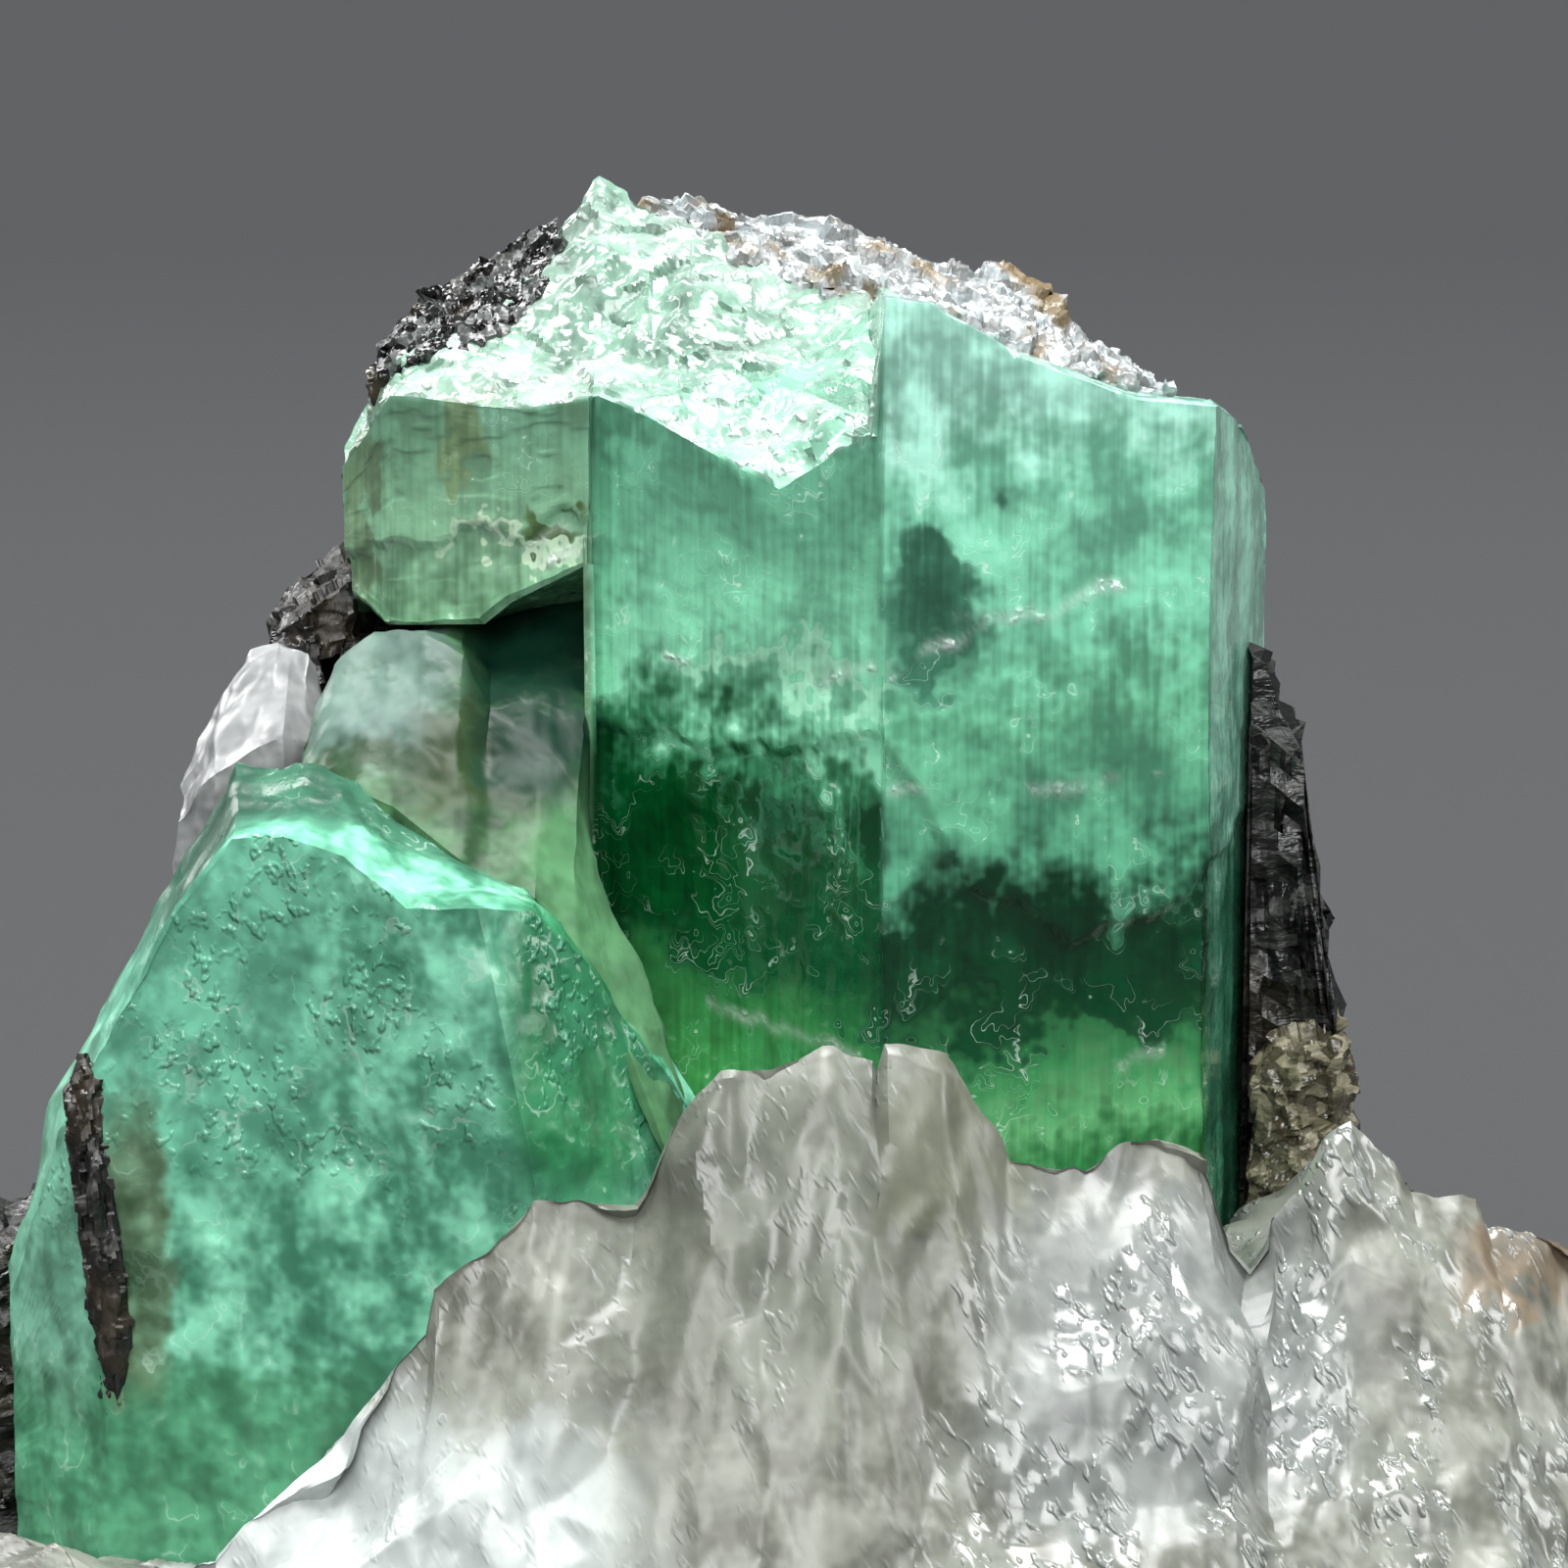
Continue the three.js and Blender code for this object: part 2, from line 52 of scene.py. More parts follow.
Outline = tuple[tuple[float, float], ...]
Level = Union[float, Outline]
Colour = tuple[int, int, int]
Point = tuple[float, float, float]


# Numbers shared by the shapes


def level_at(level: Level, x: np.ndarray) -> np.ndarray:
    """Height of an outline over x, by straight lines between its points.

    Args:
        level: A constant, or (x, value) pairs in order of x.
        x: Places to read, in millimetres.

    Returns:
        One value for each x.
    """
    if isinstance(level, (int, float)):
        return np.full_like(x, float(level))
    places, values = np.array(level, dtype=float).T
    return np.interp(x, places, values)


def raised(level: Level, by: float) -> Level:
    """Gives the outline moved up by an amount."""
    if isinstance(level, (int, float)):
        return level + by
    return tuple((x, value + by) for x, value in level)


def linear(colour: Colour) -> tuple[float, float, float, float]:
    """Turns a colour as seen, 0 to 255, into the scene's linear values with full alpha."""
    seen = np.array(colour, dtype=float) / 255.0
    values = np.where(seen <= 0.04045, seen / 12.92, ((seen + 0.055) / 1.055) ** 2.4)
    return (*map(float, values), 1.0)


# Noise fields, each a function of position


AXIS_PRIMES = (374761393, 668265263, 1440662683)
SEED_PRIME = 974634777
MIX_PRIME = 1274126177
LOW_WORD = 0xFFFFFFFF
LOW_HALF = 0xFFFF
LAYERED_SIZE = 1.6
FACET_WARP = 0.45
FACET_WARP_SCALE = 0.7
FACET_TURN = np.array(((0.74, 0.48, -0.47), (-0.64, 0.71, -0.29), (0.2, 0.52, 0.83)))
CLUSTER_EDGE = 2.5
CLUSTER_LIFT = 0.35


def lattice(cell: np.ndarray, seed: int) -> np.ndarray:
    """Random value from 0 to 1 for each whole-number lattice point, by multiplying and mixing bits.

    Args:
        cell: Lattice points, shape (..., 3), as integers.
        seed: Picks one of many fields.

    Returns:
        Values of shape (...).
    """
    mixed = sum(cell[..., axis] * prime for axis, prime in enumerate(AXIS_PRIMES)) + seed * SEED_PRIME
    mixed = mixed & LOW_WORD
    mixed = ((mixed ^ (mixed >> 13)) * MIX_PRIME) & LOW_WORD
    return ((mixed ^ (mixed >> 16)) & LOW_HALF) / LOW_HALF


def smooth_noise(points: np.ndarray, seed: int) -> np.ndarray:
    """Smooth noise from -1 to 1: lattice values blended by a smooth step in each direction.

    Args:
        points: Positions, shape (..., 3), in lattice steps.
        seed: Picks the field.

    Returns:
        Values of shape (...).
    """
    cell = np.floor(points).astype(np.int64)
    part = points - cell
    ease = part * part * (3.0 - 2.0 * part)
    total = np.zeros(points.shape[:-1])
    for corner in np.ndindex(2, 2, 2):
        weight = np.prod(np.where(np.array(corner) == 1, ease, 1.0 - ease), axis=-1)
        total += weight * lattice(cell + np.array(corner), seed)
    return 2.0 * total - 1.0


def layered_noise(points: np.ndarray, seed: int, layers: int = 4) -> np.ndarray:
    """Sum of smooth noise at doubling frequency and halving strength, about -1 to 1.

    Args:
        points: Positions, shape (..., 3), in lattice steps of the first layer.
        seed: Picks the field.
        layers: How many frequencies are summed.

    Returns:
        Values of shape (...).
    """
    total = np.zeros(points.shape[:-1])
    for layer in range(layers):
        total += smooth_noise(points * 2.0**layer, seed + layer) / 2.0**layer
    return total / LAYERED_SIZE


def broken_facets(points: np.ndarray, seed: int, tilt: float = 1.0) -> np.ndarray:
    """Height of a hackly break: each random cell is a plane with a tilt and a level of its own.

    The nearest of the 27 jittered cell centres around a point owns it. Its height there is the cell's
    level plus the dot product of the cell's tilt with the offset from its centre.

    Args:
        points: Positions, shape (..., 3), in cell sizes.
        seed: Picks the cells.
        tilt: Steepness of the planes.

    Returns:
        Heights of shape (...), about -1 to 1.
    """
    home = np.floor(points).astype(np.int64)
    nearest = np.full(points.shape[:-1], np.inf)
    height = np.zeros(points.shape[:-1])
    for step in np.ndindex(3, 3, 3):
        cell = home + np.array(step) - 1
        jitter = np.stack([lattice(cell, seed + axis) for axis in range(3)], axis=-1)
        lean = np.stack([lattice(cell, seed + 3 + axis) for axis in range(3)], axis=-1) - 0.5
        offset = points - (cell + jitter)
        distance = np.sum(offset * offset, axis=-1)
        plane = lattice(cell, seed + 6) - 0.5 + 2.0 * tilt * np.sum(lean * offset, axis=-1)
        closer = distance < nearest
        nearest = np.where(closer, distance, nearest)
        height = np.where(closer, plane, height)
    return height


def folded_facets(points: np.ndarray, seed: int) -> np.ndarray:
    """Height of a surface of flat facets that meet in creases, with no steps between them.

    Each cube of a turned and gently warped lattice is cut in six tetrahedra by the order of the point's
    fractions. The height is the straight-line blend of the random values at the tetrahedron's corners.

    Args:
        points: Positions, shape (..., 3), in facet sizes.
        seed: Picks the values.

    Returns:
        Heights of shape (...), from -1 to 1.
    """
    warp = np.stack([smooth_noise(points * FACET_WARP_SCALE, seed + axis) for axis in range(3)], axis=-1)
    turned = (points + FACET_WARP * warp) @ FACET_TURN
    corner = np.floor(turned).astype(np.int64)
    part = turned - corner
    order = np.argsort(-part, axis=-1)
    ranked = np.take_along_axis(part, order, axis=-1)
    share = np.append(ranked, np.zeros(part.shape[:-1] + (1,)), axis=-1)
    total = lattice(corner, seed + 3) * (1.0 - share[..., 0])
    for rank in range(3):
        corner = corner + (order[..., rank, None] == np.arange(3))
        total += lattice(corner, seed + 3) * (share[..., rank] - share[..., rank + 1])
    return 2.0 * total - 1.0


def clusters(points: np.ndarray, seed: int) -> np.ndarray:
    """Patches with soft edges, from 0 to 1: where layered noise is high.

    Args:
        points: Positions, shape (..., 3), in patch sizes.
        seed: Picks the field.

    Returns:
        Values of shape (...).
    """
    return np.clip(CLUSTER_EDGE * layered_noise(points, seed) + CLUSTER_LIFT, 0.0, 1.0)


def terraces(values: np.ndarray, steps: int, sharp: float = 8.0) -> np.ndarray:
    """Turns smooth values into flat treads with steep risers.

    Args:
        values: Any values, about -1 to 1.
        steps: Treads for each unit.
        sharp: How steep a riser is.

    Returns:
        Values of the same shape.
    """
    scaled = values * steps
    tread = np.floor(scaled)
    rise = np.clip((scaled - tread - 0.5) * sharp + 0.5, 0.0, 1.0)
    return (tread + rise) / steps


@dataclass(frozen=True)
class Layer:
    """One layer of a surface: a noise field, its height, its cells for each millimetre and its seed.

    With treads, the field is cut in terraces before it is scaled.
    """

    field: Callable[[np.ndarray, int], np.ndarray]
    height: float
    frequency: Union[float, Point]
    seed: int
    treads: int = 0

    def at(self, points: np.ndarray) -> np.ndarray:
        """Works out the layer's height, height * field(frequency * point).

        Args:
            points: Positions, shape (..., 3), in millimetres.

        Returns:
            Heights of shape (...).
        """
        values = self.field(points * self.frequency, self.seed)
        return self.height * (terraces(values, self.treads) if self.treads else values)


def stacked(layers: tuple[Layer, ...], points: np.ndarray) -> np.ndarray:
    """Gives the sum of the layers' heights at each point."""
    return sum(layer.at(points) for layer in layers)


# Lofted solids


@dataclass(frozen=True)
class Row:
    """One row of corners that runs along x, and how finely the side to the next row is cut."""

    y: Level
    z: Level
    parts: int


@dataclass(frozen=True)
class Loft:
    """A closed solid whose sections across x are polygons through rows of corners.

    A section at x joins the rows' (y, z) points by straight sides. The columns of the grid are the x
    values where an outline bends, with longer stretches cut at `step`. Each end is closed by rings that
    shrink to the section's middle.
    """

    rows: tuple[Row, ...]
    step: float
    lean: Level = 0.0
    lean_z: float = 0.0
    rings: tuple[float, ...] = (0.94, 0.8, 0.6, 0.35)

    def stations(self) -> np.ndarray:
        """Gives the x values of the columns, in order."""
        levels = [level for row in self.rows for level in (row.y, row.z) if isinstance(level, tuple)]
        bends = [x for level in levels for x, _ in level]
        places = np.unique(np.round(bends, 4))
        counts = np.maximum(1, np.ceil(np.diff(places) / self.step).astype(int))
        inner = [np.linspace(a, b, n, endpoint=False) for a, b, n in zip(places, places[1:], counts)]
        return np.concatenate([*inner, places[-1:]])

    def sides(self) -> np.ndarray:
        """Gives, for each point of a section, the number of the side that it starts."""
        return np.repeat(np.arange(len(self.rows)), [row.parts for row in self.rows])

    def shaped(self) -> tuple[np.ndarray, np.ndarray]:
        """Gives the points and the side of each point of a section."""
        return self.grid(), self.sides()

    def grid(self) -> np.ndarray:
        """Works out the points.

        Returns:
            Array of shape (columns, points of a section, 3), in millimetres.
        """
        x = self.stations()
        corners = np.stack([np.stack([level_at(r.y, x), level_at(r.z, x)], -1) for r in self.rows], 1)
        after = np.roll(corners, -1, axis=1)
        side = self.sides()
        share = np.concatenate([np.arange(r.parts) / r.parts for r in self.rows])[None, :, None]
        section = corners[:, side] * (1.0 - share) + after[:, side] * share
        slide = level_at(self.lean, x)[:, None] * (self.lean_z - section[..., 1])
        points = np.concatenate([x[:, None, None] + slide[..., None], section], axis=-1)
        return np.concatenate([self._closing(points[0])[::-1], points, self._closing(points[-1])])

    def _closing(self, section: np.ndarray) -> np.ndarray:
        """Gives the rings that close an end, from the section inwards."""
        middle = section.mean(axis=0)
        shrink = np.array(self.rings)[:, None, None]
        return middle + (section - middle) * shrink


def outward(points: np.ndarray) -> np.ndarray:
    """Unit normals of a loft's grid, as the cross product of its two directions.

    Args:
        points: Grid of shape (columns, around, 3).

    Returns:
        Normals of the same shape.
    """
    along = np.gradient(points, axis=0)
    around = np.roll(points, -1, axis=1) - np.roll(points, 1, axis=1)
    normal = np.cross(around, along)
    return normal / np.maximum(np.linalg.norm(normal, axis=-1, keepdims=True), 1e-9)


def closed_mesh(name: str, points: np.ndarray, broken: np.ndarray, sharp_deg: float) -> bpy.types.Object:
    """Makes an object from a loft's grid: quads around the sides and a fan of triangles at each end.

    Args:
        name: Name of the piece.
        points: Grid of shape (columns, around, 3), in millimetres.
        broken: Share of rough break at each point, shape (columns, around), kept as a point attribute.
        sharp_deg: Edges that bend more than this stay sharp.

    Returns:
        The new object, at the origin.
    """
    columns, around, _ = points.shape
    index = np.arange(columns * around).reshape(columns, around)
    beside = np.roll(index, -1, axis=1)
    quads = np.stack([index[:-1], beside[:-1], beside[1:], index[1:]], axis=-1).reshape(-1, 4)
    poles = columns * around + np.arange(2)
    first = np.stack([np.full(around, poles[0]), beside[0], index[0]], axis=-1)
    last = np.stack([np.full(around, poles[1]), index[-1], beside[-1]], axis=-1)
    ends = np.stack([points[0].mean(axis=0), points[-1].mean(axis=0)])
    vertices = np.concatenate([points.reshape(-1, 3), ends]) * MM
    mesh = bpy.data.meshes.new(name)
    mesh.from_pydata(vertices, [], [*quads.tolist(), *first.tolist(), *last.tolist()])
    mesh.polygons.foreach_set("use_smooth", np.ones(len(mesh.polygons), dtype=bool))
    mesh.update()
    mesh.set_sharp_from_angle(angle=math.radians(sharp_deg))
    share = mesh.attributes.new("broken", "FLOAT", "POINT")
    at_points = np.append(broken.ravel(), [broken[0, 0], broken[-1, 0]])
    share.data.foreach_set("value", at_points.astype(np.float32))
    piece = bpy.data.objects.new(name, mesh)
    bpy.context.scene.collection.objects.link(piece)
    return piece


# Shader nodes


Node = bpy.types.Node
Out = bpy.types.NodeSocket
Socket = Union[Out, float, int, tuple]


class Graph:
    """Adds nodes to one tree, and sets or links their inputs."""

    def __init__(self, tree: bpy.types.NodeTree) -> None:
        """Starts on a tree."""
        self.tree = tree

    def node(
        self, kind: str, inputs: Optional[Mapping[Any, Socket]] = None, **settings: Any
    ) -> Node:
        """Adds a node.

        Args:
            kind: Blender's name of the node type.
            inputs: Value or socket for each input, by name or number.
            **settings: Properties of the node itself.

        Returns:
            The node.
        """
        made = self.tree.nodes.new(kind)
        for key, value in settings.items():
            setattr(made, key, value)
        for key, value in (inputs or {}).items():
            if isinstance(value, Out):
                self.tree.links.new(value, made.inputs[key])
            else:
                made.inputs[key].default_value = value
        return made

    def math(self, operation: str, *values: Socket) -> Out:
        """Gives the result of an arithmetic node."""
        return self.node("ShaderNodeMath", dict(enumerate(values)), operation=operation).outputs[0]

    def vector(self, operation: str, *values: Socket) -> Out:
        """Gives the vector result of a vector arithmetic node."""
        made = self.node("ShaderNodeVectorMath", dict(enumerate(values)), operation=operation)
        return made.outputs["Vector"]

    def scaled(self, vector: Socket, by: Socket) -> Out:
        """Gives a vector times a number."""
        made = self.node("ShaderNodeVectorMath", {0: vector, "Scale": by}, operation="SCALE")
        return made.outputs["Vector"]

    def remap(
        self, value: Socket, low: Socket, high: Socket, to: tuple[Socket, Socket] = (0.0, 1.0)
    ) -> Out:
        """Gives a value moved from one range to another, smoothly and within the limits."""
        inputs = {"Value": value, "From Min": low, "From Max": high, "To Min": to[0], "To Max": to[1]}
        return self.node("ShaderNodeMapRange", inputs, interpolation_type="SMOOTHSTEP").outputs["Result"]

    def mix(self, factor: Socket, first: Socket, second: Socket, blend: str = "MIX") -> Out:
        """Gives a blend of two colours."""
        inputs = {0: factor, 6: first, 7: second}
        return self.node("ShaderNodeMix", inputs, data_type="RGBA", blend_type=blend).outputs[2]

    def noise(self, vector: Socket, scale: float, detail: float = 4.0, rough: float = 0.5) -> Node:
        """Adds a noise texture."""
        inputs = {"Vector": vector, "Scale": scale, "Detail": detail, "Roughness": rough}
        return self.node("ShaderNodeTexNoise", inputs)

    def ramp(self, value: Socket, stops: tuple[tuple[float, Colour], ...]) -> Out:
        """Gives the colour at a value, by straight blends between colours at set values."""
        low, high = stops[0][0], stops[-1][0]
        inputs = {"Value": value, "From Min": low, "From Max": high}
        share = self.node("ShaderNodeMapRange", inputs).outputs["Result"]
        made = self.node("ShaderNodeValToRGB", {"Fac": share})
        elements = made.color_ramp.elements
        elements.remove(elements[-1])
        elements[0].color = linear(stops[0][1])
        for place, colour in stops[1:]:
            elements.new((place - low) / (high - low)).color = linear(colour)
        return made.outputs["Color"]

    def use(self, group: bpy.types.NodeTree, inputs: Mapping[str, Socket]) -> Node:
        """Adds a shared group with values of its own."""
        return self.node("ShaderNodeGroup", inputs, node_tree=group)

    def place(self) -> Out:
        """Gives the position on the piece, in millimetres."""
        return self.scaled(self.node("ShaderNodeTexCoord").outputs["Object"], 1.0 / MM)


def blank_material(name: str) -> tuple[bpy.types.Material, Graph]:
    """Makes a material with no nodes yet, and the graph that adds them."""
    made = bpy.data.materials.new(name)
    made.use_nodes = True
    made.node_tree.nodes.clear()
    return made, Graph(made.node_tree)


class Kind(Enum):
    """Kinds of socket on a shared group."""

    VALUE = "NodeSocketFloat"
    VECTOR = "NodeSocketVector"


def sockets(vectors: str = "", values: str = "") -> dict[str, Kind]:
    """Gives the kind of each socket, from names with spaces between them."""
    return {**dict.fromkeys(vectors.split(), Kind.VECTOR), **dict.fromkeys(values.split(), Kind.VALUE)}


def shared_group(
    name: str,
    inputs: Mapping[str, Kind],
    outputs: Mapping[str, Kind],
    fill: Callable[[Graph, Node], Mapping[str, Out]],
) -> bpy.types.NodeTree:
    """Builds a shader node group.

    Args:
        name: Name of the group.
        inputs: Input sockets by name.
        outputs: Output sockets by name.
        fill: Adds the nodes, given the graph and the input node, and gives the socket for each output.

    Returns:
        The group's tree.
    """
    tree = bpy.data.node_groups.new(name, "ShaderNodeTree")
    for key, kind in inputs.items():
        tree.interface.new_socket(key, in_out="INPUT", socket_type=kind.value)
    for key, kind in outputs.items():
        tree.interface.new_socket(key, in_out="OUTPUT", socket_type=kind.value)
    graph = Graph(tree)
    ends = fill(graph, graph.node("NodeGroupInput"))
    result = graph.node("NodeGroupOutput")
    for key, socket in ends.items():
        tree.links.new(socket, result.inputs[key])
    return tree


class Effects:
    """Shared surface effects, each built once."""

    ZONE_EDGE = (1.6, 0.5)
    CRUMB_PEAKS = (0.52, 0.74)
    MIDDLE = 0.5

    def __init__(self) -> None:
        """Builds the groups."""
        self.warp = shared_group(
            "growth_warp",
            sockets("Position Stretch", "Ragged Feather Sway"),
            sockets("Position Bent", "Streak Cloud"),
            self._warp,
        )
        mask = sockets(values="Mask")
        self.zone = shared_group("soft_zone", sockets("Position Scale Shift", "Strength"), mask, self._zone)
        self.cracks = shared_group("healed_cracks", sockets("Position Stretch", "Width"), mask, self._cracks)
        height = sockets(values="Height")
        self.grain = shared_group("fine_grain", sockets("Position Turn Size"), height, self._grain)
        facets = sockets(values="Height Shade")
        self.facets = shared_group("glinting_facets", sockets("Position", "Scale"), facets, self._facets)

    @staticmethod
    def _warp(graph: Graph, given: Node) -> dict[str, Out]:
        """Moves positions up or down by a ragged cloud and by streaks, and sideways by the cloud."""
        position = given.outputs["Position"]
        drawn = graph.vector("MULTIPLY", position, given.outputs["Stretch"])
        streak = graph.noise(drawn, scale=1.0, detail=1.0).outputs["Fac"]
        cloud = graph.noise(position, scale=0.6, detail=3.0, rough=0.7).outputs["Fac"]
        aside = graph.math("SUBTRACT", streak, Effects.MIDDLE)
        swell = graph.math("SUBTRACT", cloud, Effects.MIDDLE)
        lift = graph.math("MULTIPLY", swell, given.outputs["Ragged"])
        rise = graph.math("ADD", lift, graph.math("MULTIPLY", aside, given.outputs["Feather"]))
        sway = graph.math("MULTIPLY", lift, given.outputs["Sway"])
        shift = graph.node("ShaderNodeCombineXYZ", {"X": sway, "Z": rise}).outputs[0]
        bend = graph.node("ShaderNodeCombineXYZ", {"Z": lift}).outputs[0]
        return {
            "Position": graph.vector("ADD", position, shift),
            "Bent": graph.vector("ADD", position, bend),
            "Streak": streak,
            "Cloud": cloud,
        }

    @staticmethod
    def _zone(graph: Graph, given: Node) -> dict[str, Out]:
        """Rounded block by the sum of fourth powers: full near its centre, and nothing past its edge."""
        scaled = graph.vector(
            "MULTIPLY_ADD", given.outputs["Position"], given.outputs["Scale"], given.outputs["Shift"]
        )
        squared = graph.vector("MULTIPLY", scaled, scaled)
        distance = graph.node("ShaderNodeVectorMath", {0: squared}, operation="LENGTH").outputs["Value"]
        return {"Mask": graph.remap(distance, *Effects.ZONE_EDGE, (0.0, given.outputs["Strength"]))}

    @staticmethod
    def _cracks(graph: Graph, given: Node) -> dict[str, Out]:
        """Thin wandering lines where a stretched noise passes its middle value."""
        stretched = graph.vector("MULTIPLY", given.outputs["Position"], given.outputs["Stretch"])
        height = graph.noise(stretched, scale=1.0, detail=1.0, rough=0.6).outputs["Fac"]
        gap = graph.math("ABSOLUTE", graph.math("SUBTRACT", height, Effects.MIDDLE))
        return {"Mask": graph.remap(gap, given.outputs["Width"], 0.0)}

    @staticmethod
    def _grain(graph: Graph, given: Node) -> dict[str, Out]:
        """Small crumbs on a smooth ground, drawn out along a turned axis: the peaks of a noise."""
        inputs = {
            "Vector": given.outputs["Position"],
            "Rotation": given.outputs["Turn"],
            "Scale": given.outputs["Size"],
        }
        turned = graph.node("ShaderNodeMapping", inputs, vector_type="TEXTURE").outputs["Vector"]
        height = graph.noise(turned, scale=1.0, detail=1.0).outputs["Fac"]
        return {"Height": graph.remap(height, *Effects.CRUMB_PEAKS)}

    @staticmethod
    def _facets(graph: Graph, given: Node) -> dict[str, Out]:
        """Small flat facets: in each cell the height is a random slope times the offset from its centre."""
        scaled = graph.scaled(given.outputs["Position"], given.outputs["Scale"])
        cells = graph.node("ShaderNodeTexVoronoi", {"Vector": scaled, "Scale": 1.0})
        slope = graph.vector("SUBTRACT", cells.outputs["Color"], (Effects.MIDDLE,) * 3)
        offset = graph.vector("SUBTRACT", scaled, cells.outputs["Position"])
        product = graph.node("ShaderNodeVectorMath", {0: slope, 1: offset}, operation="DOT_PRODUCT")
        shade = graph.node("ShaderNodeSeparateColor", {0: cells.outputs["Color"]}).outputs[0]
        return {"Height": product.outputs["Value"], "Shade": shade}


# Finishes


EDGE_BLUR = 0.08
BODY_TONES = (0.38, 0.62)
SHADE_TONES = (0.36, 0.64)
# Share of the frost colour on breaks, from crumb troughs to crumb peaks: pale frost that is partly painted
# glint.
FROST_AND_GLINT_SHARE = (0.3, 0.85)
CRACKED_CLOUD = (0.5, 0.62)
FULL_BREAK = 0.6
CRUMBS_ON_FACES = 0.06
CRUMB_DEPTH = 0.1
CRUMB_STRENGTH = 0.8


@dataclass(frozen=True)
class Zone:
    """A part of a piece that has a colour of its own: a rounded block in millimetres."""

    colour: Colour
    centre: Point
    radii: Point
    strength: float = 1.0

    def inputs(self) -> dict[str, Socket]:
        """Gives the inputs of the shared effect, which turn a position into an offset in radii."""
        return {
            "Scale": tuple(1.0 / r for r in self.radii),
            "Shift": tuple(-c / r for c, r in zip(self.centre, self.radii)),
            "Strength": self.strength,
        }


@dataclass(frozen=True)
class Band:
    """Growth layers of a prism face that begins at an x: colours at heights there, and their dip."""

    start: float
    dip: float
    stops: tuple[tuple[float, Colour], ...]


@dataclass(frozen=True)
class Cracks:
    """Healed cracks: thin pale lines, drawn out along the axes."""

    colour: Colour
    stretch: Point
    width: float
    strength: float

    def over(
        self,
        colour: Out,
        share: Out,
        place: Out,
        graph: Graph,
        effects: Effects,
    ) -> Out:
        """Lays the lines over a colour.

        Args:
            colour: What lies below.
            share: How much of the lines shows.
            place: Position on the piece, in millimetres.
            graph: Where the nodes go.
            effects: Shared groups.

        Returns:
            The new colour.
        """
        inputs = {"Position": place, "Stretch": self.stretch, "Width": self.width}
        mask = graph.use(effects.cracks, inputs).outputs["Mask"]
        lines = graph.math("MULTIPLY", mask, graph.math("MULTIPLY", share, self.strength))
        return graph.mix(lines, colour, linear(self.colour))


@dataclass(frozen=True)
class Absorption:
    """The colour that light takes on inside a clear piece, and how strongly, for each metre."""

    colour: Colour
    density: float


